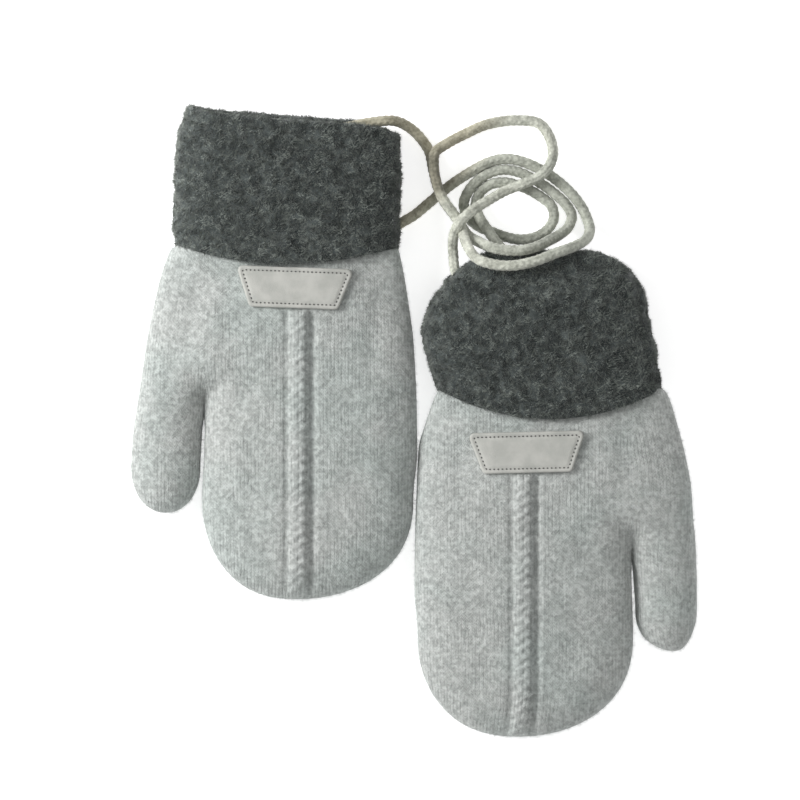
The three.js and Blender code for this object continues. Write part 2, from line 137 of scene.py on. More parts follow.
def new_material(name, roughness, sheen=0.0, sheen_roughness=0.5):
    """A material, its shader with the values that are the same all over, and the place on the object."""
    material = bpy.data.materials.new(name)
    material.use_nodes = True
    tree = material.node_tree
    shader = next(node for node in tree.nodes if node.type == "BSDF_PRINCIPLED")
    for key, value in (("Roughness", roughness), ("Sheen Weight", sheen),
                       ("Sheen Roughness", sheen_roughness), ("Specular IOR Level", 0.25)):
        shader.inputs[key].default_value = value
    return material, shader, make(tree, "ShaderNodeTexCoord", {}, [], OBJECT_PLACE)


def noise(vector, scale, detail=2.0, roughness=0.5):
    return make(vector.tree, "ShaderNodeTexNoise", {},
                {"Vector": vector, "Scale": scale, "Detail": detail, "Roughness": roughness})


def link(value, shader, name):
    value.tree.links.new(value.socket, shader.inputs[name])


def link_bump(height, distance, strength, shader):
    normal = make(height.tree, "ShaderNodeBump", {},
                  {"Strength": strength, "Distance": distance, "Height": height})
    link(normal, shader, "Normal")


# %% [markdown]
# The knit is a light grey yarn worked in columns of stitches that run from the cuff to the fingertips,
# about one to the millimetre, and then brushed until the stitches blur into a nap. Its map is the cloth's
# own: U is the way round the tube and V the way along it, both in millimetres, so the columns stay upright
# on the back and close up round the sides as real ones do.

# %% Knit
WALE = 1.02  # width of a column of stitches, in mm
COURSE = 0.86  # height of a stitch, in mm


def knit_material():
    material, shader, place = new_material("knit", 0.95, sheen=0.25, sheen_roughness=0.6)
    cloth = make(place.tree, "ShaderNodeUVMap", {"uv_map": "cloth"}, [])
    column = (cloth.axis(0) + (noise(place, 140, 3) - 0.5) * 1.1) / WALE
    side = (column.math("FRACT") - 0.5).math("ABSOLUTE") * 2
    row = (cloth.axis(1) + (noise(place, 240, 1) - 0.5) * 0.5) / COURSE
    legs = ((row - side * 0.75) * TURN).math("SINE") * 0.5 + 0.5
    upright = make(place.tree, "ShaderNodeNewGeometry", {}, [], SURFACE_NORMAL).axis(2)
    brushed = upright.smooth(0.74, 0.98)
    felted = noise(place, 110, 3).smooth(0.38, 0.62)
    groove = side.smooth(0.45, 1.0) * (0.85 - brushed * 0.4 - felted * 0.3)
    nap = noise(place, 1100, 4, 0.65)
    tufts = noise(place, 720, 3, 0.6)
    patches = noise(place, 90, 3, 0.6)
    body = (1 - groove) * (legs * 0.4 + 0.6)
    shade = (tufts.smooth(0.36, 0.66) * 0.46 + nap.smooth(0.3, 0.72) * 0.24 + body * 0.28
             + patches.smooth(0.3, 0.7) * 0.1)
    tint = noise(place, 45, 2).smooth(0.35, 0.65)
    dark = mixed(tint, (0.205, 0.223, 0.213), (0.22, 0.229, 0.22))
    light = mixed(tint, (0.565, 0.612, 0.588), (0.6, 0.622, 0.602))
    link(mixed(shade.math("MINIMUM", 1), dark, light), shader, "Base Color")
    link_bump(body * 0.55 + nap * 0.5 + tufts * 0.9, 0.42 * MM, 0.75, shader)
    return material


def speckled_material(name, roughness, scale, dark, light, spread=None, **sheen):
    """A finish that wavers between two colours, and reaches them both where a spread is given."""
    material, shader, place = new_material(name, roughness, **sheen)
    shade = noise(place, scale, 2)
    link(mixed(shade.smooth(*spread) if spread else shade, dark, light), shader, "Base Color")
    return material


KNIT = knit_material()
NAP = speckled_material("knit_nap", 0.95, 500, (0.36, 0.39, 0.375), (0.62, 0.66, 0.64), (0.35, 0.65),
                        sheen=0.3, sheen_roughness=0.6)

# %% [markdown]
# The cuffs show the pile of the lining, turned out: soft dark grey plush whose curls catch the light in thin
# winding lines, painted into its colour as highlights. Colour comes from the place on the cuff, so a fibre
# takes the shade of the curl it is in. The pile is painted lighter at the pair's left edge: painted light,
# where the lamp on the left falls on it.

# %% Plush
def plush_material(name, dark, light, strength):
    material, shader, place = new_material(name, 1.0, sheen=0.35, sheen_roughness=0.55)
    clouds = noise(place, 210, 3, 0.6)
    curls = noise(place, 900, 3, 0.65)
    # Painted highlights: thin winding light lines on the curls.
    strands = 1 - (noise(place, 300, 2, 0.6) - 0.5).math("ABSOLUTE").smooth(0.0, 0.09)
    # Painted light: the pile grows lighter towards the pair's left edge, where the lamp from the left falls
    # on it.
    edge = 1 - place.axis(0).smooth(-0.07, -0.05)
    shade = (clouds.smooth(0.32, 0.7) * 0.3 + curls.smooth(0.3, 0.72) * 0.28 + strands * 0.34
             + edge * 0.28)
    link(mixed(shade.math("MINIMUM", 1), dark, light), shader, "Base Color")
    link_bump(curls * 0.6 + clouds, 0.7 * MM, strength, shader)
    return material


PLUSH = plush_material("plush", (0.022, 0.028, 0.027), (0.085, 0.1, 0.097), 0.8)
PILE = plush_material("plush_pile", (0.053, 0.063, 0.056), (0.275, 0.3, 0.272), 0.0)

# %% [markdown]
# The patch is a matt imitation leather with a fine grain. The cord is a light yarn, warmer near the left
# mitten. Painted shade darkens it where its stretches run side by side there, and painted light brightens the
# parts that lie on top and the top of the upper loop, the outer stretch more than the inner.

# %% Patch and cord finishes
def leather_material():
    material, shader, place = new_material("patch_leather", 0.6)
    grain = make(place.tree, "ShaderNodeTexVoronoi", {"feature": "DISTANCE_TO_EDGE"},
                 {"Vector": place, "Scale": 1900}).smooth(0.0, 0.12)
    worn = noise(place, 180, 3, 0.6)
    link(mixed(worn.smooth(0.3, 0.7), (0.43, 0.435, 0.405), (0.53, 0.53, 0.495)), shader, "Base Color")
    link(worn * 0.2 + 0.5, shader, "Roughness")
    link_bump(grain * 0.6 + worn, 0.05 * MM, 0.7, shader)
    return material


def cord_material(name, lift, painted_light_share):
    """Yarn whose colours are lifted by a little, with painted light on its high parts and on the top of the
    upper loop by a share, and painted shade where two stretches run side by side.
    """
    material, shader, place = new_material(name, 0.95, sheen=0.2, sheen_roughness=0.6)
    x, y, z = (place.axis(number) for number in range(3))
    warm = (1 - x.smooth(0.012, 0.034)) * (y - x).smooth(0.05, 0.062)
    # Painted light: lighter where the cord lies high on the left and on the top of the upper loop, by the
    # given share.
    painted_top_light = z.smooth(0.002, 0.007) * (1 - x.smooth(0.024, 0.04))
    painted_top_light = painted_top_light.math("MAXIMUM", y.smooth(0.072, 0.08) * x.smooth(0.02, 0.034)) * painted_light_share
    # Painted shade: halfway to near black where the two stretches run side by side, at y about 70 mm and x
    # below about 10 mm.
    painted_side_by_side_shade = (1 - (y - 0.0705).math("ABSOLUTE").smooth(0.004, 0.008)) * (1 - x.smooth(0.0075, 0.012))
    fibres = noise(place, 1300, 3, 0.6)
    spots = noise(place, 350, 3, 0.6)
    shade = fibres.smooth(0.3, 0.7) * 0.5 + spots.smooth(0.35, 0.65) * 0.5

    def lifted(*colour):
        return tuple(part + lift for part in colour)

    dark = mixed(warm, mixed(painted_top_light, lifted(0.25, 0.26, 0.22), lifted(0.33, 0.338, 0.285)),
                 lifted(0.22, 0.205, 0.145))
    light = mixed(warm, mixed(painted_top_light, lifted(0.57, 0.59, 0.515), (0.76, 0.775, 0.68)),
                  lifted(0.54, 0.51, 0.39))
    link(mixed(painted_side_by_side_shade * 0.5, mixed(shade, dark, light), (0.03, 0.03, 0.025)), shader, "Base Color")
    link_bump(fibres, 0.2 * MM, 0.6, shader)
    return material


LEATHER = leather_material()
THREAD = speckled_material("stitch_thread", 0.8, 700, (0.07, 0.073, 0.07), (0.12, 0.12, 0.113))
# Lit and shaded copies of one yarn: the outer stretch has all of the painted light and the inner stretch only
# a share of it.
YARN = {"cord_inner": cord_material("cord_yarn", 0.0, 0.3),
        "cord_outer": cord_material("cord_yarn_more_painted_light", 0.0, 1.0)}
FUZZ = cord_material("cord_fuzz", 0.1, 0.6)

# %% [markdown]
# Most pieces are lofts: rings of points joined into a closed skin. One helper turns a stack of rings into
# faces, and another makes the object and turns its faces outwards.

# %% Meshes from rings
def lengths_along(line):
    steps = np.linalg.norm(np.diff(line, axis=0), axis=1)
    return np.concatenate([[0], np.cumsum(steps)])


def spaced(line, stops):
    """Points at the given lengths along a line."""
    lengths = lengths_along(line)
    return np.column_stack([np.interp(stops, lengths, column) for column in np.transpose(line)])


def corners_of(mesh):
    corners = np.zeros(len(mesh.vertices) * 3)
    mesh.vertices.foreach_get("co", corners)
    return corners.reshape(-1, 3)


def signed_volume(mesh):
    mesh.calc_loop_triangles()
    index = np.zeros(len(mesh.loop_triangles) * 3, int)
    mesh.loop_triangles.foreach_get("vertices", index)
    a, b, c = corners_of(mesh)[index.reshape(-1, 3)].transpose(1, 0, 2)
    return float((a * np.cross(b, c)).sum() / 6)


def piece_from(name, points, faces, material, uvs=None):
    """A finished object at the origin, with its place in its mesh. Points are in mm."""
    mesh = bpy.data.meshes.new(name)
    mesh.from_pydata((np.asarray(points) * MM).tolist(), [], faces)
    if uvs is not None:
        layer = mesh.uv_layers.new(name="cloth")
        layer.data.foreach_set("uv", np.asarray(uvs, float).ravel())
    mesh.materials.append(material)
    mesh.polygons.foreach_set("use_smooth", [True] * len(mesh.polygons))
    mesh.validate()
    mesh.update()
    piece = bpy.data.objects.new(name, mesh)
    bpy.context.scene.collection.objects.link(piece)
    if signed_volume(mesh) < 0:
        mesh.flip_normals()
    return piece


def settle(piece, slot, *nodes):
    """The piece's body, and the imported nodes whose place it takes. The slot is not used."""
    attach(piece, BODY)
    if nodes:
        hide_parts(*nodes)
    return piece


def ring_skin(rings, closed=False):
    """Points and faces of a skin through rings of the same count, joined end to end or with poles."""
    rings = np.asarray(rings, float)
    count, columns = rings.shape[:2]
    points = rings.reshape(-1, 3)
    faces = []
    for i in range(count if closed else count - 1):
        below = i * columns
        above = (i + 1) % count * columns
        for j in range(columns):
            k = (j + 1) % columns
            faces.append((below + j, below + k, above + k, above + j))
    if not closed:
        last = len(points) - columns
        points = np.vstack([points, rings[0].mean(0), rings[-1].mean(0)])
        start, end = len(points) - 2, len(points) - 1
        faces += [((j + 1) % columns, j, start) for j in range(columns)]
        faces += [(last + j, last + (j + 1) % columns, end) for j in range(columns)]
    return points, faces


# %% [markdown]
# The cord comes before the rest, because its room in the view is tested. It is one limp knitted cord that
# shows as two stretches between the cuffs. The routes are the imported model's own, but for one turn of the
# coil that lies a little further out. Three of the four ends are carried on inside the cuffs, so that no
# bare end shows. The knit is real relief: columns of stitches run along the cord, each a row of slanting
# legs, with grooves between.

# %% Cord routes, in mm
CORD_DIAMETER = 2.7
INNER_ROUTE = [
    (-26.6, 68, 7.4), (-26, 73, 7.2), (-24, 78.5, 6.9), (-20.5, 82.6, 6.7), (-15.4, 84.2, 6.6),
    (-10.2, 85, 6.6), (-5.8, 85.3, 5.6), (-2.6, 84.3, 3.6),
    (0.7, 81.9, 1.8), (4.2, 77.2, 1.5), (5.4, 72, 2.8), (6.2, 68.4, 4.6), (7.3, 64.9, 5),
    (9, 61.8, 4.2), (11, 59.2, 3.2), (12.8, 56.6, 3.6), (15, 53, 6.6), (18.4, 50.6, 12),
    (22, 48.9, 15.8), (26, 48.1, 16.8), (30.6, 48.1, 16.7), (34.6, 49.2, 14.9), (38, 51, 10.4),
    (41.4, 53, 5.2), (44, 55.3, 2.2), (45, 58.4, 1.5), (43.2, 61.9, 1.5), (40.8, 64.2, 1.5),
    (37.8, 66.6, 1.5), (34.4, 68.7, 1.5), (30.7, 70.6, 1.5), (26.7, 71.6, 1.5), (22.7, 71.1, 1.5),
    (18.7, 69, 1.5), (15.6, 65.6, 1.5), (14.2, 61.9, 1.5), (15.4, 58.2, 1.5), (18.5, 55.4, 1.5),
    (22.7, 53.7, 1.5), (26.4, 52.4, 1.5), (30.4, 51.7, 1.5), (34.9, 52.5, 1.5), (38.2, 54.7, 1.5),
    (39.9, 57.9, 1.5), (39.2, 61.3, 1.5), (36.6, 63.6, 1.5), (33.2, 65.7, 1.5), (29.5, 67.2, 1.5),
    (25.6, 68, 1.5), (21.6, 67.3, 1.5), (18.8, 65, 1.5), (17.6, 61.6, 2), (18.6, 58, 4),
    (20.6, 54.8, 5), (22.6, 51.8, 5.6), (24.8, 49, 6.3), (26.4, 46.4, 6.8), (27.6, 43.4, 7.1),
    (28.6, 38.6, 7.5), (29.4, 33, 7.6),
]
OUTER_ROUTE = [
    (13.6, 37, 7.4), (12.6, 40.2, 7), (11.6, 43, 6.2), (11.3, 45, 5.6), (11.2, 47, 5.4),
    (11, 49.6, 6), (11.2, 52.4, 8.6),
    (12.4, 55.4, 11.2), (15.6, 58.9, 10.4), (21.4, 62.8, 6.6), (26, 65.4, 5), (30.4, 67.2, 4.7),
    (35.4, 69.4, 4.7), (38.4, 72.4, 4.7), (39.6, 76.4, 2.4), (38.6, 81, 1.5), (35.6, 84.8, 1.5),
    (29, 85.7, 1.5), (20.8, 84.5, 1.5), (14.4, 81.7, 1.6), (9.2, 78.8, 3.4), (6, 76.2, 5.5),
    (5.7, 72, 6.5), (6.2, 68.4, 8.1), (7.3, 64.9, 8.3), (9, 61.8, 7.9), (11, 59.2, 7),
    (13, 56, 7.8), (14, 52.6, 10.8), (15.2, 49, 15.6), (17.4, 45.9, 18), (22, 44.1, 18.8),
    (27.4, 43.7, 19), (34, 45, 18.7), (39.6, 47.2, 17.7), (44.4, 49, 15.2), (48.4, 51.2, 9.6),
    (50, 54.2, 4), (49.4, 57.4, 1.8), (47.9, 60.8, 1.5), (45.7, 63.9, 1.5), (43.2, 66.5, 1.5),
    (39.8, 69.3, 1.5), (36.1, 71.6, 1.5), (31.8, 73.6, 1.5), (26.7, 74.7, 1.5), (21.6, 73.8, 1.5),
    (13, 69, 1.5), (9.4, 66.4, 1.5), (4.6, 62.4, 1.5), (0, 58.6, 1.5), (-3.6, 56.5, 1.4),
    (-5.8, 55.2, 1.4),
]

# %% Cord
CORD_STEP = 0.27
CORD_SIDES = 32
CORD_WALES = 4  # columns of stitches round the cord
CORD_COURSE = 1.75  # height of one of its stitches
CORD_LOFT = 0.2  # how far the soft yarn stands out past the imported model's cord
LEG_RELIEF = 0.15
GROOVE_RELIEF = 0.26
ROUNDED_END = 0.9  # length over which an end closes
CURVE_POINTS = 40  # points between two stops of a route, before they are spaced evenly


def smooth_step(value):
    value = np.clip(value, 0, 1)
    return value * value * (3 - 2 * value)


def smooth_route(route):
    """Points at even steps along a centripetal curve through the route, and the curve's length."""
    stops = np.array(route, float)
    ends = np.vstack([2 * stops[0] - stops[1], stops, 2 * stops[-1] - stops[-2]])
    curve = []
    for p0, p1, p2, p3 in zip(ends[:-3], ends[1:-2], ends[2:-1], ends[3:]):
        t1 = np.linalg.norm(p1 - p0) ** 0.5
        t2 = t1 + np.linalg.norm(p2 - p1) ** 0.5
        t3 = t2 + np.linalg.norm(p3 - p2) ** 0.5
        t = np.linspace(t1, t2, CURVE_POINTS, endpoint=False)[:, None]
        a1 = (t1 - t) / t1 * p0 + t / t1 * p1
        a2 = (t2 - t) / (t2 - t1) * p1 + (t - t1) / (t2 - t1) * p2
        a3 = (t3 - t) / (t3 - t2) * p2 + (t - t2) / (t3 - t2) * p3
        b1 = (t2 - t) / t2 * a1 + t / t2 * a2
        b2 = (t3 - t) / (t3 - t1) * a2 + (t - t1) / (t3 - t1) * a3
        curve.append((t2 - t) / (t2 - t1) * b1 + (t - t1) / (t2 - t1) * b2)
    curve = np.vstack([*curve, stops[-1:]])
    length = lengths_along(curve)[-1]
    return spaced(curve, np.linspace(0, length, int(length / CORD_STEP) + 1)), length


def frames_along(line):
    """A sideways and an upright direction at each point, carried along without twist."""
    tangents = np.gradient(line, axis=0)
    tangents /= np.linalg.norm(tangents, axis=1)[:, None]
    sides = [np.cross(tangents[0], (0, 0, 1))]
    sides[0] /= np.linalg.norm(sides[0])
    for tangent in tangents[1:]:
        side = sides[-1] - tangent * (sides[-1] @ tangent)
        sides.append(side / np.linalg.norm(side))
    sides = np.array(sides)
    return sides, np.cross(sides, tangents)


def make_cord(name, route):
    line, length = smooth_route(route)
    sides, uprights = frames_along(line)
    along = np.arange(len(line)) * CORD_STEP
    turn = np.linspace(0, TURN, CORD_SIDES, endpoint=False)
    wale = turn[None, :] / TURN * CORD_WALES + 0.04 * np.sin(along[:, None] / 7)
    side = np.abs(wale % 1 - 0.5) * 2
    legs = np.sin((along[:, None] / CORD_COURSE - side * 0.8) * TURN)
    groove = smooth_step((side - 0.6) / 0.4)
    relief = LEG_RELIEF * (legs - 1) * 0.5 * (1 - groove) - GROOVE_RELIEF * groove
    radius = CORD_DIAMETER / 2 + CORD_LOFT + relief
    closing = np.minimum(1, np.minimum(along, along[::-1]) / ROUNDED_END)
    radius *= np.sqrt(1 - (1 - closing[:, None]) ** 2 * 0.96)
    rings = (line[:, None, :] + sides[:, None, :] * (radius * np.cos(turn))[..., None]
             + uprights[:, None, :] * (radius * np.sin(turn))[..., None])
    points, faces = ring_skin(rings)
    cord = settle(piece_from(f"{name}_yarn", points, faces, YARN[name]), "cord", name)
    print(name, "is", round(length), "mm long, with", len(faces), "faces")
    return cord


CORDS = [make_cord("cord_inner", INNER_ROUTE), make_cord("cord_outer", OUTER_ROUTE)]

# %% [markdown]
# The mittens' own sizes are a short table for each, in mm: where its edges are seen from above, how high
# it lies, and how its fingertip rounds off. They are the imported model's sizes. The curve between two rows
# never passes either row's value, so an edge has no bumps that the table lacks.

# %% Sizes of the mittens
HAND_WALL = 3.0
CUFF_LEAF = 2.4
FOLD_WALL = 5.8
MOUTH_WALL = 4.2
SQUARENESS = 2.7
SIDE_HEIGHT = 0.42  # height of the widest line, as a share of the thickness
FLATTENED = 1.15
THUMB_OFFSET = 40  # where the thumb's part of the cloth map starts
COLUMNS = ("y", "left", "right", "under", "high")
PATCH = {"top": 33.4, "bottom": 25.0, "height": 11.6, "thick": 1.2, "corner": 1.4}


def table(*rows):
    return {name: np.array(column, float) for name, column in zip(COLUMNS, zip(*rows))}


MITTENS = {
    "left": {
        "palm": table(
            (-22.4, -60.1, -0.2, 0, 14.6), (-8.2, -59.5, 0.9, 0, 15.4), (7.2, -59.2, 0.7, 0, 15.4),
            (23, -59.2, -0.2, 0, 15.2)),
        "hand": table(
            (-5, -79.9, 0.9, 0, 15.4), (4, -78.8, 0.8, 0, 15.4), (11.6, -77.4, 0.5, 0, 15.4),
            (23, -75.7, -0.2, 0, 15.2), (34.4, -73.4, -1.7, 0.4, 14.8), (42.9, -71.2, -3.1, 2.7, 14.7),
            (45.8, -70.1, -3.7, 2.8, 14.6), (48.8, -68.7, -4.5, 2.8, 14.6), (51, -65.8, -6.6, 2.8, 14.6),
            (58, -65.2, -7, 2.8, 14.6)),
        "hand_tip": {"from": -22.4, "length": 28.2, "power": 2.2, "middle": -33.2},
        "thumb": table(
            (-13, -80.4, -60.7, 0, 11.4), (-5, -79.9, -60.3, 0, 12), (9, -77.8, -59.7, 0, 12.6),
            (22, -76, -59.7, 0, 12.6)),
        "thumb_tip": {"from": -13, "length": 13.1, "power": 2.1, "middle": -70.6},
        "crotch": 2.0,
        "cable": {"x": -32.5, "from": 31.2},
        "patch": {"x": -33.7, "y": 37.6, "turn": -0.035},
        "cuff": {
            "low": 49, "bow": 4.8, "mouth": 87, "tilt": -2.2, "corners": (-0.35, 3), "lip": 1.8,
            "raised": 1.1,
            "rows": table(
                (46, -68.5, -3.9, 0, 17.4), (57, -68.9, -3.4, 0, 18), (68.4, -68.6, -3.2, 0, 17.6),
                (77, -68, -3, 0, 16.8), (87, -65.6, -3.2, 0, 14.9))},
    },
    "right": {
        "palm": table(
            (-61.1, 1, 62.2, 0, 14.6), (-47.4, 0.2, 61.8, 0, 15.4), (-34.2, 0.3, 61.5, 0, 15.4),
            (-18.5, 0.8, 61.5, 0, 15.2)),
        "hand": table(
            (-44, 0.3, 80.3, 0, 15.4), (-36, 0.3, 80, 0, 15.4), (-29, 0.4, 79.3, 0, 15.4),
            (-18.5, 0.8, 78.6, 0, 15.2), (-8, 1.3, 76.6, 0.4, 14.8), (0, 3.5, 74.4, 2.7, 14.7),
            (5, 5.2, 72.9, 2.8, 14.6), (8.4, 6.8, 71.3, 2.8, 14.6), (10.8, 8.6, 67.8, 2.8, 14.6),
            (18, 7, 65.8, 2.8, 14.6)),
        "hand_tip": {"from": -61.1, "length": 28.5, "power": 2.2, "middle": 29.4},
        "thumb": table(
            (-54, 62.9, 80.4, 0, 11.4), (-44, 62.3, 80.3, 0, 12), (-32, 61.9, 79.8, 0, 12.6),
            (-19, 61.9, 78.6, 0, 12.6)),
        "thumb_tip": {"from": -54, "length": 11.4, "power": 2, "middle": 73.6},
        "crotch": -39.0,
        "cable": {"x": 30.9, "from": -15},
        "patch": {"x": 31.8, "y": -8.8, "turn": 0.024},
        "cuff": {
            "low": 8.7, "bow": 8.2, "mouth": 48.6, "tilt": 0, "corners": (5, 5), "lip": 0.6, "raised": 0,
            "rows": table(
                (8, 6, 70.9, 0, 17.4), (13, 4.5, 70.2, 0, 17.8), (25.6, 1.7, 68.4, 0, 18),
                (33.2, 2.9, 66.8, 0, 17.6), (38.6, 4.9, 66, 0, 16.9), (42.2, 7, 64.9, 0, 16.2),
                (45.5, 9.7, 63.4, 0, 15.5), (49, 12.4, 61.5, 0, 14.9))},
    },
}


# %% Sections
def column_at(rows, column, y):
    places = rows["y"]
    values = rows[column]
    if y <= places[0]:
        return values[0]
    if y >= places[-1]:
        return values[-1]
    slopes = np.diff(values) / np.diff(places)
    k = int(np.searchsorted(places, y, side="right")) - 1

    def tangent(i):
        if i == 0 or i == len(places) - 1 or slopes[i - 1] * slopes[i] <= 0:
            return 0.0
        return 2 * slopes[i - 1] * slopes[i] / (slopes[i - 1] + slopes[i])

    span = places[k + 1] - places[k]
    s = (y - places[k]) / span
    start = (1 + 2 * s) * (1 - s) ** 2 * values[k]
    end = s * s * (3 - 2 * s) * values[k + 1]
    return start + end + span * (s * (1 - s) ** 2 * tangent(k) + s * s * (s - 1) * tangent(k + 1))


def section_at(rows, tip, y, inset=0.0):
    """The section at one place: its middle, half width, underside, top and the height of its sides."""
    left, right, under, high = (column_at(rows, name, y) for name in COLUMNS[1:])
    section = {"y": y, "middle": (left + right) / 2, "half": (right - left) / 2 - inset,
               "under": under + inset, "high": high - inset,
               "side": under + SIDE_HEIGHT * (high - under), "squareness": SQUARENESS}
    if tip is None or y >= tip["from"]:
        return section
    along = min(1.0, (tip["from"] - y) / (tip["length"] - inset))
    side = section["side"]
    section["half"] *= (1 - along ** tip["power"]) ** (1 / tip["power"])
    section["middle"] += (tip["middle"] - section["middle"]) * along ** 4
    section["high"] = side + (section["high"] - side) * (1 - along ** 2.4) ** (1 / 2.4)
    section["under"] = side - (side - section["under"]) * (1 - along ** 4) ** 0.25
    return section


def section_points(section, turns):
    """Points of a section at turns from the right edge over the top."""
    turns = np.asarray(turns, float)
    exponent = 2 / section["squareness"]
    across, upright = (np.sign(way) * np.abs(way) ** exponent for way in (np.cos(turns), np.sin(turns)))
    dome = section["side"] + upright * (section["high"] - section["side"])
    base = section["side"] + FLATTENED * upright * (section["side"] - section["under"])
    z = np.where(upright > 0, dome, np.maximum(section["under"], base))
    return np.column_stack([section["middle"] + section["half"] * across,
                            np.full(len(turns), section["y"]), z])


def turn_at(section, x):
    across = np.clip((x - section["middle"]) / max(section["half"], 1e-6), -1, 1)
    return float(np.arccos(np.sign(across) * abs(across) ** (section["squareness"] / 2)))


def even_stretch(section, first, last, count):
    """Turns between two turns, the same length of cloth apart, without the last one."""
    fine = np.linspace(first, last, 160)
    lengths = lengths_along(section_points(section, fine))
    return np.interp(np.linspace(0, lengths[-1], count, endpoint=False), lengths, fine)


# %% [markdown]
# Cloth is never as even as a formula. Two kinds of unevenness are laid over it: a soft random swell with a
# fixed seed, and a few troughs, listed one by one, where the cloth of the pair is seen to dip.

# %% Unevenness of cloth
SWELL_WAVES = 14
HAND_SWELL = 0.16

# Middle x and y, direction in degrees, half length, half width and depth, in mm
DIPS = {
    "left": [(-62, 30, 70, 14, 4, 0.5), (-12, 22, 82, 22, 5, 0.5), (-48, 8, 60, 12, 5, 0.4),
             (-57, 8, 40, 9, 3.4, 0.9), (-20, -20, 75, 14, 6, 0.35), (-46, -24, 100, 10, 5, 0.3),
             (-16, 42, 20, 9, 3, 0.5), (-56, 43, -25, 9, 3, 0.5)],
    "right": [(14, -14, 100, 16, 5, 0.5), (60, -14, 105, 16, 5, 0.5), (50, -40, 120, 12, 5, 0.4),
              (60, -30, 140, 9, 3.4, 0.9), (16, -56, 95, 16, 6, 0.35), (46, -64, 85, 12, 5, 0.3),
              (10, 2, 30, 9, 3, 0.6), (62, -2, -30, 10, 3, 0.6)],
}


def swell(points, size, seed):
    """A smooth random height between about -1 and 1 over bumps of one size, in mm."""
    random = np.random.default_rng(seed)
    total = np.zeros(len(points))
    for _ in range(SWELL_WAVES):
        direction = random.normal(size=3)
        direction *= TURN / (size * random.uniform(0.75, 1.5)) / np.linalg.norm(direction)
        total += np.sin(points @ direction + random.uniform(0, TURN))
    return total / SWELL_WAVES ** 0.5 * 0.8


def troughs(points, dips):
    """The depth of the listed troughs."""
    depth = np.zeros(len(points))
    for x, y, angle, length, width, deep in dips:
        c, s = math.cos(math.radians(angle)), math.sin(math.radians(angle))
        along = (points[:, 0] - x) * c + (points[:, 1] - y) * s
        across = (points[:, 1] - y) * c - (points[:, 0] - x) * s
        depth += deep * np.exp(-(along / length) ** 2 * 2 - (across / width) ** 2 * 2)
    return depth


def rest_on_floor(points):
    points[:, 2] = np.maximum(points[:, 2], 0)
    return points


def uneven(points, seed, dips):
    """Swell and troughs on the upper side of a skin, fading out towards the sides."""
    lift = np.clip((points[:, 2] - 6) / 4, 0, 1)
    change = HAND_SWELL * swell(points, 11, seed) + HAND_SWELL * 0.55 * swell(points, 5, seed + 1)
    points[:, 2] += lift * (change - troughs(points, dips))
    return rest_on_floor(points)


# %% [markdown]
# Hand and thumb are one closed skin, as the knit of a mitten is. Its rows lie across the mitten. Above the
# crotch a row is one section of the hand with the thumb's base. Towards the crotch a valley sinks into it,
# and below, the row is two rings that touch: one of the hand, one of the thumb. The skin goes up the
# outside from both fingertips, over the rim under the cuff, and back down the inside.
# The plaited cable is worked into the outside, as it is in the knitting: two strands that cross every few
# stitches, between two narrow troughs of which the right one is the deeper.
# The right mitten is worked out as a left one, and its points are turned over at the end.

# %% Hands
PLAIT_PITCH = 5.8
STRAND_SWING = 1.2
STRAND_RADIUS = 1.6
STRAND_HEIGHT = 0.98
CABLE_HALF = 5.2
CABLE_COLUMNS = 32
SIDE_COLUMNS = 46
UNDER_COLUMNS = 48
THUMB_TOP_COLUMNS = 46
THUMB_UNDER_COLUMNS = 34
ROW_STEP = 0.56
HAND_SQUARENESS = 2.55
THUMB_SQUARENESS = 2.2
JOIN_LENGTH = 13.0  # length of the valley over the crotch
INNER_CROTCH = 5.0  # how much higher the crotch of the inside lies
CREASE_REACH = 5.0  # width of cloth drawn to the crotch on each side, and its length below it
SOFT_REACH = 6.5  # how far from the crease the valley is rounded
SOFT_ROUNDS = 40


def plait(across, y):
    """Height of the cable over the cloth around it."""
    wave = TURN * y / PLAIT_PITCH
    height = np.zeros(len(across))
    for way in (1, -1):
        off = (across - way * STRAND_SWING * math.sin(wave)) / STRAND_RADIUS
        strand = np.sqrt(np.clip(1 - off ** 2, 0, 1)) * (STRAND_HEIGHT + 0.16 * way * math.cos(wave))
        height = np.maximum(height, strand)
    left = 0.45 * np.exp(-((across + 3.5) / 0.9) ** 2)
    right = 0.95 * np.exp(-((across - 3.5) / 1.15) ** 2)
    return height - left - right


def turned_over(mitten):
    """The other hand's mitten: the same tables with left and right exchanged."""
    other = dict(mitten)
    for key in ("hand", "palm", "thumb"):
        rows = mitten[key]
        other[key] = {**rows, "left": -rows["right"], "right": -rows["left"]}
    for key, place in (("hand_tip", "middle"), ("thumb_tip", "middle"), ("cable", "x")):
        other[key] = {**mitten[key], place: -mitten[key][place]}
    return other


def crease_point(mitten, y, inset):
    palm = section_at(mitten["palm"], None, y, inset)
    thumb = section_at(mitten["thumb"], None, y, inset)
    x = (palm["middle"] - palm["half"] + thumb["middle"] + thumb["half"]) / 2
    return np.array([x, y, (palm["side"] + thumb["side"]) / 2])


def drawn_to(ring, point, share):
    """A ring that starts and ends at the crease, with the cloth beside the crease drawn to a point."""
    along = lengths_along(ring)
    near_start = np.exp(-(along / CREASE_REACH) ** 2)[:, None]
    near_end = np.exp(-((along[-1] - along) / CREASE_REACH) ** 2)[:, None]
    return ring + share * (near_start * (point - ring[0]) + near_end * (point - ring[-1]))


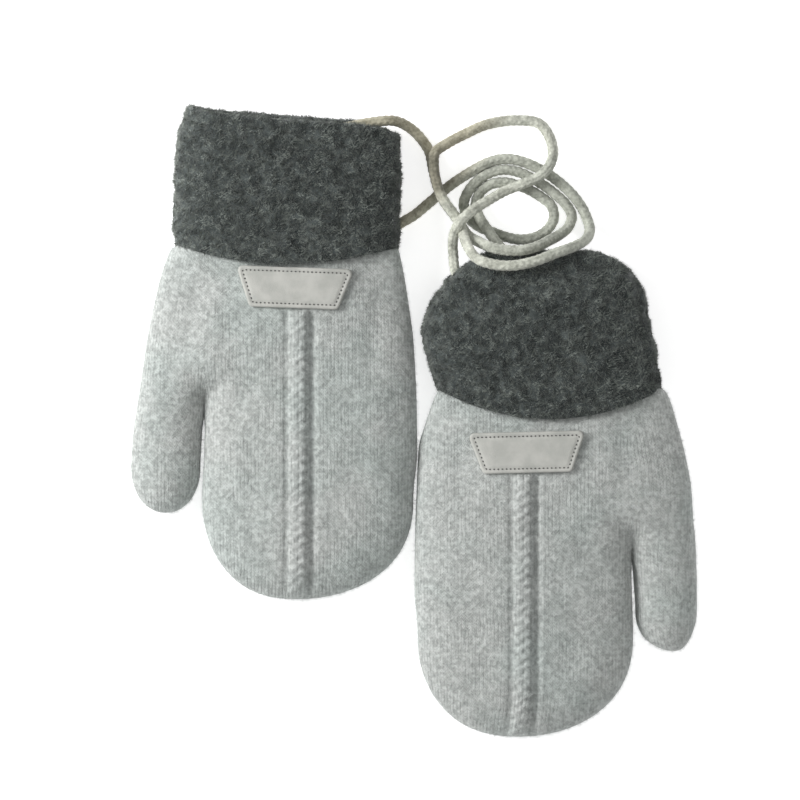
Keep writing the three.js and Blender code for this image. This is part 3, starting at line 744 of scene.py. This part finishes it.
def row_ring(mitten, part, y, inset, crotch, flip):
    """One ring of the hand or the thumb and its way round in mm, from crease to crease."""
    is_hand = part == "hand"
    tip = mitten[f"{part}_tip"]
    point = crease_point(mitten, y, inset)
    wide = section_at(mitten["hand"], None, y, inset)
    crease = turn_at(wide, point[0])
    own = section_at(mitten["palm" if is_hand else "thumb"], tip, y, inset)
    own["squareness"] = HAND_SQUARENESS if is_hand else THUMB_SQUARENESS
    if is_hand:
        cable = mitten["cable"]
        follow = np.clip((tip["from"] - y) / tip["length"], 0, 1) ** 4
        centre = cable["x"] + (tip["middle"] - cable["x"]) * follow
        squeeze = min(1.0, 0.7 * own["half"] / CABLE_HALF)
        spread = np.linspace(CABLE_HALF, -CABLE_HALF, CABLE_COLUMNS, endpoint=False)
        zero = UNDER_COLUMNS + SIDE_COLUMNS + CABLE_COLUMNS // 2

        def turns(section, low, high):
            right = turn_at(section, centre + CABLE_HALF * squeeze)
            left = turn_at(section, centre - CABLE_HALF * squeeze)
            return np.concatenate([
                even_stretch(section, low, TURN, UNDER_COLUMNS),
                even_stretch(section, 0, right, SIDE_COLUMNS),
                [turn_at(section, centre + x * squeeze) for x in spread],
                even_stretch(section, left, high, SIDE_COLUMNS), [high]])

        own_turns = turns(own, math.pi, math.pi)
    else:
        zero = THUMB_TOP_COLUMNS // 2

        def turns(section, low, high):
            return np.concatenate([
                even_stretch(section, high, math.pi, THUMB_TOP_COLUMNS),
                even_stretch(section, math.pi, low, THUMB_UNDER_COLUMNS), [low]])

        own_turns = turns(own, TURN, 0)
    joined = smooth_step((y - crotch) / JOIN_LENGTH)
    ring = section_points(own, own_turns)
    round_own = lengths_along(ring)
    ring = drawn_to(ring, point, smooth_step((y - crotch + CREASE_REACH) / CREASE_REACH))
    ring[-1] = ring[0]
    over = section_points(wide, turns(wide, TURN - crease, crease))
    round_wide = lengths_along(over)
    ring = ring + (over - ring) * joined
    around = (round_own - round_own[zero]) * (1 - joined) + (round_wide - round_wide[zero]) * joined
    if is_hand and inset == 0:
        strength = min(1.0, own["half"] / 20) * np.clip((cable["from"] - y) / 0.8, 0, 1)
        columns = slice(zero - CABLE_COLUMNS // 2, zero + CABLE_COLUMNS // 2)
        ring[columns, 2] += plait(flip * (ring[columns, 0] - centre) / squeeze, y) * strength
    return ring, around


def hand_stations(mitten, part, crotch):
    """Places and insets of the rows of one part, and the first and last of them that both parts share."""
    tip = mitten[f"{part}_tip"]
    start = tip["from"] - tip["length"]
    top = mitten["hand"]["y"][-1]
    close = start + np.array([0.02, 0.1, 0.25, 0.45, 0.7, 1.0, 1.4])
    below = [(y, 0) for y in [*close, *np.arange(start + 1.85, crotch - 0.3, ROW_STEP)]]
    shared = [(y, 0) for y in np.linspace(crotch, top - 0.6, int((top - crotch) / ROW_STEP))]
    shared += [(top - 0.35, 0.25), (top, 0.9), (top, HAND_WALL - 0.9), (top - 0.35, HAND_WALL - 0.25)]
    inner_crotch = crotch + INNER_CROTCH
    shared += [(y, HAND_WALL) for y in np.linspace(top - 2, inner_crotch, int((top - inner_crotch) / 3))]
    inner_start = start + HAND_WALL
    inside = [(y, HAND_WALL) for y in np.arange(inner_crotch - 1.5, inner_start + 5, -2.5)]
    inside += [(inner_start + ahead, HAND_WALL) for ahead in (3.4, 1.4, 0.4, 0.04)]
    return below + shared + inside, len(below), len(below) + len(shared) - 1


def soften(points, faces, outer, crease):
    """The valley over the crotch, rounded: heights there are averaged with their neighbours'."""
    away = np.abs(points[:, 0] - crease[0])
    above = points[:, 1] - crease[1]
    chosen = outer & (away < SOFT_REACH) & (above > -1) & (above < JOIN_LENGTH + 3)
    chosen &= points[:, 2] > crease[2] - 0.1
    pairs = np.array([(face[k], face[k - 1]) for face in faces for k in range(len(face))
                      if chosen[face[k]] or chosen[face[k - 1]]])
    degree = np.bincount(pairs.ravel(), minlength=len(points))
    weight = 0.5 * smooth_step((SOFT_REACH - away) / 3) * smooth_step((above + 1) / 4)
    for _ in range(SOFT_ROUNDS):
        total = np.bincount(pairs[:, 0], points[pairs[:, 1], 2], len(points))
        total += np.bincount(pairs[:, 1], points[pairs[:, 0], 2], len(points))
        change = total / np.maximum(degree, 1) - points[:, 2]
        points[chosen, 2] += (change * weight)[chosen]
    return points


def make_hand(name, mitten, seed):
    """The piece, its girth and length in mm, and the faces of its outside."""
    flip = 1 if name == "left" else -1
    mitten = mitten if flip == 1 else turned_over(mitten)
    crotch = mitten["crotch"]
    points, outer, faces, uvs = [], [], [], []
    index, shared_rows = {}, {}
    for part, offset in (("hand", 0), ("thumb", THUMB_OFFSET)):
        stations, first, last = hand_stations(mitten, part, crotch)
        built = [row_ring(mitten, part, y, inset, crotch + (INNER_CROTCH if inset else 0), flip)
                 for y, inset in stations]
        rings = np.array([ring for ring, _ in built])
        count, columns = rings.shape[:2]
        ids = np.arange(count * columns).reshape(count, columns) + len(points)
        points += list(rings.reshape(-1, 3))
        outer += [inset == 0 for _, inset in stations for _ in range(columns)]
        index[part], shared_rows[part] = ids, slice(first, last + 1)
        apart = [row for row in range(count) if row <= first or row >= last]
        ids[apart, -1] = ids[apart, 0]
        if part == "thumb":
            ids[shared_rows["thumb"], 0] = index["hand"][shared_rows["hand"], -1]
            ids[shared_rows["thumb"], -1] = index["hand"][shared_rows["hand"], 0]
        for i in range(count - 1):
            (y0, _), (y1, _) = stations[i], stations[i + 1]
            u0, u1 = built[i][1] + offset, built[i + 1][1] + offset
            for j in range(columns - 1):
                faces.append((ids[i, j], ids[i, j + 1], ids[i + 1, j + 1], ids[i + 1, j]))
                uvs += [(u0[j], y0), (u0[j + 1], y0), (u1[j + 1], y1), (u1[j], y1)]
        for row, turned in ((0, True), (count - 1, False)):
            points.append(rings[row].mean(0))
            outer.append(row == 0)
            pole = len(points) - 1
            u = built[row][1] + offset
            for j in range(columns - 1):
                a, b = ids[row, j], ids[row, j + 1]
                faces.append((b, a, pole) if turned else (a, b, pole))
                uvs += [(u[j], stations[row][0])] * 3
    used, packed = np.unique([i for face in faces for i in face], return_inverse=True)
    sizes = np.cumsum([0] + [len(face) for face in faces])
    faces = [tuple(packed[a:b]) for a, b in zip(sizes[:-1], sizes[1:])]
    outer = np.array(outer)[used]
    points = soften(np.array(points)[used], faces, outer, crease_point(mitten, crotch, 0))
    points[:, 0] *= flip
    points[outer] = uneven(points[outer], seed, DIPS[name])
    hand = settle(piece_from(f"{name}_hand_knit", points, faces, KNIT, uvs), "knit",
                  f"{name}_hand", f"{name}_thumb")
    wide = section_at(mitten["hand"], None, crotch + JOIN_LENGTH)
    girth = lengths_along(section_points(wide, np.linspace(0, TURN, 300)))[-1]
    length = mitten["hand"]["y"][-1] - mitten["hand_tip"]["from"] + mitten["hand_tip"]["length"]
    print(hand.name, "faces", len(faces), "round", round(girth), "mm")
    return hand, girth, length, [face for face in faces if all(outer[i] for i in face)]


# %% [markdown]
# A cuff is the top of the mitten turned back: its wall goes up the outside, folds over softly at the mouth,
# goes down the inside to the top edge of the hand, and a second leaf comes back down over the hand. The
# skin follows that wall once round in section, and lies a little inside the pile's outer reach.

# %% Cuffs
CUFF_COLUMNS = 168
PILE_DEPTH = 0.9
GIRTH_ROW = 30  # the row where a cuff's girth is measured
FOLD_INSETS = (  # how far before the mouth, and how far inside the outline
    (4, 0.05), (3, 0.15), (2.1, 0.3), (1.3, 0.6), (0.7, 1.0), (0.25, 1.5), (0.1, 2.1), (0.25, 2.7),
    (0.7, 3.3), (1.4, 3.8), (2.4, MOUTH_WALL))
EDGE_INSETS = ((0.2, 1.3), (0, 0.9), (0.15, 0.45), (0.5, 0.15), (1.2, 0.03))


def cuff_profile(mitten):
    """Places along the mitten and insets of the cuff's wall, once round its section."""
    low, mouth = mitten["cuff"]["low"], mitten["cuff"]["mouth"]
    top = mitten["hand"]["y"][-1]
    outside = [(low + y, inset) for y, inset in EDGE_INSETS]
    outside += [(y, 0) for y in np.arange(low + 2.3, mouth - 4.6, 0.8)]
    fold = [(mouth - before, inset) for before, inset in FOLD_INSETS]
    down = np.linspace(mouth - 4, top + 6, 16)
    inside = [(y, np.interp(y, (top + 6, mouth - 4), (FOLD_WALL, MOUTH_WALL))) for y in down]
    inside += [(top + 3, FOLD_WALL), (top + 0.5, FOLD_WALL), (top + 0.35, FOLD_WALL - 0.5)]
    inside += [(top + 0.35, CUFF_LEAF + 0.3), (top, CUFF_LEAF)]
    leaf = [(y, CUFF_LEAF) for y in np.linspace(top - 1.5, low + 2.2, 6)]
    return outside + fold + inside + leaf + [(low + 1.2, 2.3), (low + 0.5, 1.9)]


def cuff_shift(mitten, y, turns):
    """How far along the mitten each point is moved: a bowed lower edge, and a tilted mouth whose corners
    are round and whose upper layer ends a little lower."""
    cuff = mitten["cuff"]
    top = mitten["hand"]["y"][-1]
    across = np.sign(np.cos(turns)) * np.abs(np.cos(turns)) ** (2 / SQUARENESS)
    if y < top:
        edge = cuff["raised"] * np.clip(-across, 0, None) ** 3 - cuff["bow"] * (1 - across ** 2)
        return edge * (top - y) / (top - cuff["low"])
    share = max(0.0, (y - top - 4) / (cuff["mouth"] - top - 4))
    round_off = np.clip((np.abs(across) - 0.55) / 0.45, 0, None) ** 2
    corner = np.where(across < 0, *cuff["corners"])
    upper = np.clip(np.sin(turns), 0, None)
    return share * (cuff["tilt"] * across - corner * round_off) - share ** 3 * cuff["lip"] * upper


def make_cuff(name, mitten, seed):
    """The piece, its girth and the height of its outside in mm, and the faces that show."""
    profile = cuff_profile(mitten)
    quarters = [k * math.pi / 2 for k in range(-1, 4)]
    rings = []
    for y, inset in profile:
        outer = max(0.0, 1 - inset / 1.2)
        section = section_at(mitten["cuff"]["rows"], None, y, inset + PILE_DEPTH * outer)
        section["under"] -= PILE_DEPTH * outer
        turns = np.concatenate([even_stretch(section, first, last, CUFF_COLUMNS // 4)
                                for first, last in zip(quarters[:-1], quarters[1:])])
        ring = section_points(section, turns)
        ring[:, 1] += cuff_shift(mitten, y, turns)
        outward = (ring - (section["middle"], 0, section["side"])) * (1, 0, 1)
        outward /= np.linalg.norm(outward, axis=1)[:, None]
        lumps = 0.3 * swell(ring, 7, seed) + 0.28 * swell(ring, 3.2, seed + 1)
        rings.append(rest_on_floor(ring + outward * (lumps * outer)[:, None]))
    points, faces = ring_skin(rings, closed=True)
    cuff = settle(piece_from(f"{name}_cuff_plush", points, faces, PLUSH), "plush", f"{name}_cuff")
    girth = float(lengths_along(np.vstack([rings[GIRTH_ROW], rings[GIRTH_ROW][:1]]))[-1])
    mouth_row = max(range(len(profile)), key=lambda row: profile[row][0])
    height = mitten["cuff"]["mouth"] - mitten["cuff"]["low"]
    leaf = lengths_along(np.array(profile))[-1] / 2
    print(cuff.name, "faces", len(faces), "round", round(girth), "mm, leaf", round(leaf), "mm")
    return cuff, girth, height, faces[:(mouth_row + 4) * CUFF_COLUMNS]


HANDS, CUFFS = {}, {}
for seed, (name, mitten) in enumerate(MITTENS.items()):
    HANDS[name] = make_hand(name, mitten, 10 + seed)
    CUFFS[name] = make_cuff(name, mitten, 50 + seed)

# %% [markdown]
# Nap, pile and the cord's fuzz are thousands of fibres, and the stitches round a patch are one small bead
# of thread repeated along a line. Geometry Nodes set out both. Fibres: points are dealt out over a skin,
# and each gets a thin closed spike that stands off the surface and leans at random, combed a little one way
# and gathered in clumps. Stitches: beads lie at even steps along a line, turned along it. The copies are
# made real at the end, because an export keeps no instances.

# %% Geometry Nodes
def new_group(name, labels):
    """A tree with the given number inputs and a material, its input node, and a way to add nodes. An input
    is named, or called i and its number. A node given as a value stands for its first output."""
    tree = bpy.data.node_groups.new(name, "GeometryNodeTree")
    sockets = [("Geometry", "INPUT", "Geometry"), ("Geometry", "OUTPUT", "Geometry")]
    sockets += [(label, "INPUT", "Int" if label == "Seed" else "Float") for label in labels]
    for label, way, kind in [*sockets, ("Material", "INPUT", "Material")]:
        tree.interface.new_socket(label, in_out=way, socket_type="NodeSocket" + kind)

    def add(kind, settings=(), **inputs):
        node = tree.nodes.new(kind)
        for key, value in dict(settings).items():
            setattr(node, key, value)
        for key, value in inputs.items():
            socket = node.inputs[int(key[1:])] if key[1:].isdigit() else node.inputs[key.replace("_", " ")]
            if isinstance(value, bpy.types.Node):
                value = value.outputs[0]
            if isinstance(value, bpy.types.NodeSocket):
                tree.links.new(value, socket)
            else:
                socket.default_value = value
        return node

    return tree, add("NodeGroupInput").outputs, add


def add_copies(add, given, points, shape, rotation, size):
    """The end of a tree: copies of a shape on points, made real and given the material."""
    placed = add("GeometryNodeInstanceOnPoints", Points=points, Instance=shape, Rotation=rotation, Scale=size)
    real = add("GeometryNodeRealizeInstances", Geometry=placed)
    add("NodeGroupOutput", i0=add("GeometryNodeSetMaterial", Geometry=real, Material=given["Material"]))


def fibre_tree():
    tree, given, add = new_group("fibres", ("Density", "Length", "Width", "Lean", "Comb", "Clump",
                                            "Clump Scale", "Seed"))

    def vector(operation, first, **second):
        return add("ShaderNodeVectorMath", {"operation": operation}, i0=first, **second)

    scatter = add("GeometryNodeDistributePointsOnFaces", Mesh=given["Geometry"], Density=given["Density"],
                  Seed=given["Seed"])
    spike = add("GeometryNodeMeshCone", {"fill_type": "NGON"}, Vertices=3, Radius_Top=0.0,
                Radius_Bottom=1.0, Depth=1.0)
    random = add("FunctionNodeRandomValue", {"data_type": "FLOAT_VECTOR"}, i0=(-1, -1, -1), i1=(1, 1, 1),
                 Seed=given["Seed"])
    strayed = vector("SCALE", random, Scale=given["Lean"])
    clump = add("ShaderNodeTexNoise", Vector=add("GeometryNodeInputPosition"), Scale=given["Clump Scale"],
                Detail=1.0)
    centred = vector("SUBTRACT", clump.outputs["Color"], i1=(0.5, 0.5, 0.5))
    gathered = vector("SCALE", centred, Scale=given["Clump"])
    combed = vector("ADD", gathered, i1=add("ShaderNodeCombineXYZ", i1=given["Comb"]))
    leaning = vector("ADD", strayed, i1=combed)
    stand = vector("ADD", scatter.outputs["Normal"], i1=leaning)
    turned = add("FunctionNodeAlignEulerToVector", {"axis": "Z"}, Vector=stand)
    share = add("FunctionNodeRandomValue", {"data_type": "FLOAT"}, i2=0.55, i3=1.25, Seed=given["Seed"])
    tall = add("ShaderNodeMath", {"operation": "MULTIPLY"}, i0=share.outputs[1], i1=given["Length"])
    size = add("ShaderNodeCombineXYZ", i0=given["Width"], i1=given["Width"], i2=tall)
    add_copies(add, given, scatter, spike, turned, size)
    return tree


def stitch_tree():
    tree, given, add = new_group("stitches", ("Pitch", "Length", "Thickness"))
    line = add("GeometryNodeResampleCurve", {"mode": "LENGTH"}, Length=given["Pitch"],
               Curve=add("GeometryNodeMeshToCurve", i0=given["Geometry"]))
    bead = add("GeometryNodeMeshIcoSphere", Subdivisions=2, Radius=0.5)
    turned = add("FunctionNodeAlignEulerToVector", {"axis": "X"}, Vector=add("GeometryNodeInputTangent"))
    size = add("ShaderNodeCombineXYZ", i0=given["Length"], i1=given["Thickness"], i2=given["Thickness"])
    add_copies(add, given, line, bead, turned, size)
    return tree


def grow(name, ground, tree, values, slot):
    """What a tree makes on a mesh, as a plain mesh of its own."""
    piece = bpy.data.objects.new(name, ground)
    bpy.context.scene.collection.objects.link(piece)
    modifier = piece.modifiers.new(tree.name, "NODES")
    modifier.node_group = tree
    for item in tree.interface.items_tree:
        if item.in_out == "INPUT" and item.name in values:
            modifier[item.identifier] = values[item.name]
    evaluated = piece.evaluated_get(bpy.context.evaluated_depsgraph_get())
    mesh = bpy.data.meshes.new_from_object(evaluated)
    mesh.name = name
    piece.modifiers.clear()
    piece.data = mesh
    settle(piece, slot)
    print(name, "triangles", sum(len(p.vertices) - 2 for p in mesh.polygons))


FIBRES = fibre_tree()
STITCHES = stitch_tree()


# %% Fibres
def fibres(density, length, width, lean, comb=0.0, clump=0.0, clump_size=1.0):
    """One kind of fibre, as inputs of the tree. Density is for a square mm, sizes are in mm."""
    return {"Density": density / MM ** 2, "Length": length * MM, "Width": width * MM, "Lean": lean,
            "Comb": comb, "Clump": clump, "Clump Scale": 1 / (clump_size * MM)}


NAP_FIBRES = fibres(density=2.2, length=1.2, width=0.035, lean=1.5, comb=-0.3, clump=1.2, clump_size=2.4)
PILE_FIBRES = fibres(density=7.5, length=1.05, width=0.1, lean=0.5, comb=-0.1, clump=8.0, clump_size=2.8)
CORD_FIBRES = fibres(density=2.6, length=0.6, width=0.03, lean=1.6)
BARE_HEIGHT = 0.9 * MM  # faces below it lie on the floor and bear no fibres
PATCH_LAP = 1.5  # how far the fibres reach under a patch's ends
UPPER_SIDE = 8  # height above which a face can lie under a patch


def ground_of(piece, faces):
    """A skin of some of a piece's faces, to grow fibres on, with each face as the finished piece has it, so
    that the fibres stand outwards."""
    corners = corners_of(piece.data)
    finished = {tuple(sorted(p.vertices)): tuple(p.vertices) for p in piece.data.polygons}
    kept = [tuple(sorted(face)) for face in faces if corners[list(face), 2].mean() > BARE_HEIGHT]
    mesh = bpy.data.meshes.new(piece.name + "_ground")
    mesh.from_pydata(corners.tolist(), [], [finished[key] for key in kept if key in finished])
    mesh.update()
    return mesh


def clear_of_patch(piece, faces, place):
    """The faces that do not lie under the patch."""
    half_width = PATCH["top"] / 2 - PATCH_LAP
    half_height = PATCH["height"] / 2
    kept = []
    for face in faces:
        centre = sum((piece.data.vertices[i].co for i in face), Vector()) / len(face) / MM
        beside = abs(centre.y - place["y"]) >= half_height or abs(centre.x - place["x"]) >= half_width
        if beside or centre.z <= UPPER_SIDE:
            kept.append(face)
    return kept


for seed, (name, mitten) in enumerate(MITTENS.items()):
    hand, _, _, shown = HANDS[name]
    ground = ground_of(hand, clear_of_patch(hand, shown, mitten["patch"]))
    grow(f"{name}_hand_nap", ground, FIBRES, {**NAP_FIBRES, "Seed": 100 + seed, "Material": NAP}, "knit")
    cuff, _, _, shown = CUFFS[name]
    grow(f"{name}_cuff_pile", ground_of(cuff, shown), FIBRES,
         {**PILE_FIBRES, "Seed": 110 + seed, "Material": PILE}, "plush")
for seed, cord in enumerate(CORDS):
    every = [tuple(p.vertices) for p in cord.data.polygons]
    grow(cord.name + "_fuzz", ground_of(cord, every), FIBRES,
         {**CORD_FIBRES, "Seed": 120 + seed, "Material": FUZZ}, "cord")

# %% [markdown]
# The patch is a small trapezium of imitation leather with round corners, laid on the back of the hand under
# the cuff. It is left blank. A row of short stitches runs round it a little in from its edge.

# %% Patches
PATCH_GAP = 0.15
PATCH_POINTS = 168
CORNER_POINTS = 7
STITCH_INSET = 1.25
STITCH_POINTS = 160
STITCHING = {"Pitch": 1.17 * MM, "Length": 0.56 * MM, "Thickness": 0.4 * MM, "Material": THREAD}


def patch_outline(inset):
    """The trapezium's outline with round corners, counter-clockwise from its lower right corner."""
    half_height = PATCH["height"] / 2 - inset
    slope = (PATCH["top"] - PATCH["bottom"]) / 2 / PATCH["height"]
    middle_half = (PATCH["top"] + PATCH["bottom"]) / 4 - inset * math.sqrt(1 + slope ** 2)
    corners = [np.array((side * (middle_half + slope * v), v))
               for side, v in ((1, -half_height), (1, half_height), (-1, half_height), (-1, -half_height))]
    radius = max(0.3, PATCH["corner"] - inset)
    outline = []
    for i, here in enumerate(corners):
        before = corners[i - 1] - here
        after = corners[(i + 1) % 4] - here
        before /= np.linalg.norm(before)
        after /= np.linalg.norm(after)
        half_angle = math.acos(np.clip(before @ after, -1, 1)) / 2
        centre = here + (before + after) / np.linalg.norm(before + after) * radius / math.sin(half_angle)
        first, last = (here + way * radius / math.tan(half_angle) - centre for way in (before, after))
        a = math.atan2(first[1], first[0])
        b = a + (math.atan2(last[1], last[0]) - a) % TURN
        outline += [centre + radius * np.array([math.cos(t), math.sin(t)])
                    for t in np.linspace(a, b, CORNER_POINTS)]
    return np.array(outline)


def laid_outline(mitten, inset, count, rise):
    """Even points round the patch at an inset, turned and laid on the back of the hand."""
    outline = patch_outline(inset)
    closed = np.vstack([outline, outline[:1]])
    place = mitten["patch"]
    c, s = math.cos(place["turn"]), math.sin(place["turn"])
    laid = []
    for u, v in spaced(closed, np.linspace(0, lengths_along(closed)[-1], count, endpoint=False)):
        x = place["x"] + u * c - v * s
        y = place["y"] + u * s + v * c
        section = section_at(mitten["hand"], None, y)
        laid.append((x, y, section_points(section, [turn_at(section, x)])[0, 2] + rise))
    return np.array(laid)


def make_patch(name, mitten):
    thick = PATCH["thick"]
    levels = [(4.8, 0), (3.4, 0), (1.6, 0), (0.25, 0), (0.0, 0.2), (0.0, thick * 0.6), (0.1, thick * 0.85),
              (0.32, thick)]
    levels += [(STITCH_INSET + away, thick + rise)
               for away, rise in ((-0.5, 0.02), (-0.2, -0.12), (0.2, -0.12), (0.5, 0.02))]
    levels += [(inset, thick + 0.05) for inset in (2.4, 3.4, 4.2, 4.8)]
    rings = [laid_outline(mitten, inset, PATCH_POINTS, PATCH_GAP + rise) for inset, rise in levels]
    patch = piece_from(f"{name}_patch_leather", *ring_skin(rings), LEATHER)
    settle(patch, "patch", f"{name}_patch")


def sew_patch(name, mitten):
    line = laid_outline(mitten, STITCH_INSET, STITCH_POINTS, PATCH_GAP + PATCH["thick"] - 0.1) * MM
    mesh = bpy.data.meshes.new(f"{name}_stitch_line")
    mesh.from_pydata(line.tolist(), [(i, (i + 1) % len(line)) for i in range(len(line))], [])
    grow(f"{name}_stitches", mesh, STITCHES, STITCHING, "patch")


for name, mitten in MITTENS.items():
    make_patch(name, mitten)
for name, mitten in MITTENS.items():
    sew_patch(name, mitten)

# %% [markdown]
# For each cloth piece the size of the cut that shows is worked out and printed: a tube's cut is its way round
# by its length. They lie flat as they were laid down.

# %% Cuts of the cloth
def declare_cut(piece, across, along, under):
    whole = across * along
    layer = sum(polygon.area for polygon in piece.data.polygons) / 2 / MM ** 2  # half of the closed skin
    area = min(whole, layer)
    across * MM
    along * MM
    area * MM ** 2
    print(piece.name, "cut", round(across), "by", round(along), "mm, area share", round(area / whole, 2))


for name in MITTENS:
    declare_cut(*HANDS[name][:3], f"{name}_cuff")
    declare_cut(*CUFFS[name][:3], f"{name}_hand")

# %% [markdown]
# Plain studio: a white floor, a bright soft light from the left that models the cloth, a weak one from the
# right, and an even pale surround that keeps the shadows faint. The floor glows a little, to stay white.

# %% Floor and light
FLOOR_HALF = 2.5
FLOOR_HEIGHT = -0.0002

floor_mesh = bpy.data.meshes.new("floor")
floor_mesh.from_pydata([(x * FLOOR_HALF, y * FLOOR_HALF, FLOOR_HEIGHT)
                        for x, y in ((-1, -1), (1, -1), (1, 1), (-1, 1))], [], [(0, 1, 2, 3)])
floor = bpy.data.objects.new("floor", floor_mesh)
bpy.context.scene.collection.objects.link(floor)
floor_material, floor_shader, _ = new_material("pale_floor", 0.9)
floor_shader.inputs["Base Color"].default_value = (0.85, 0.85, 0.85, 1)
floor_shader.inputs["Emission Color"].default_value = (1, 1, 1, 1)
floor_shader.inputs["Emission Strength"].default_value = 0.65
floor_mesh.materials.append(floor_material)

world = bpy.data.worlds.new("surround")
world.use_nodes = True
world.node_tree.nodes["Background"].inputs["Color"].default_value = (1, 1, 1, 1)
world.node_tree.nodes["Background"].inputs["Strength"].default_value = 0.43
bpy.context.scene.world = world
bpy.context.scene.view_settings.view_transform = "Standard"


def soft_light(name, place, size, power):
    data = bpy.data.lights.new(name, "AREA")
    data.size = size
    data.energy = power
    light = bpy.data.objects.new(name, data)
    light.location = place
    light.rotation_mode = "QUATERNION"
    light.rotation_quaternion = (-Vector(place)).to_track_quat("-Z", "Y")
    bpy.context.scene.collection.objects.link(light)


soft_light("key", (-0.72, 0.24, 0.45), 0.36, 8.5)
soft_light("fill", (0.5, -0.3, 1.2), 0.9, 1.3)
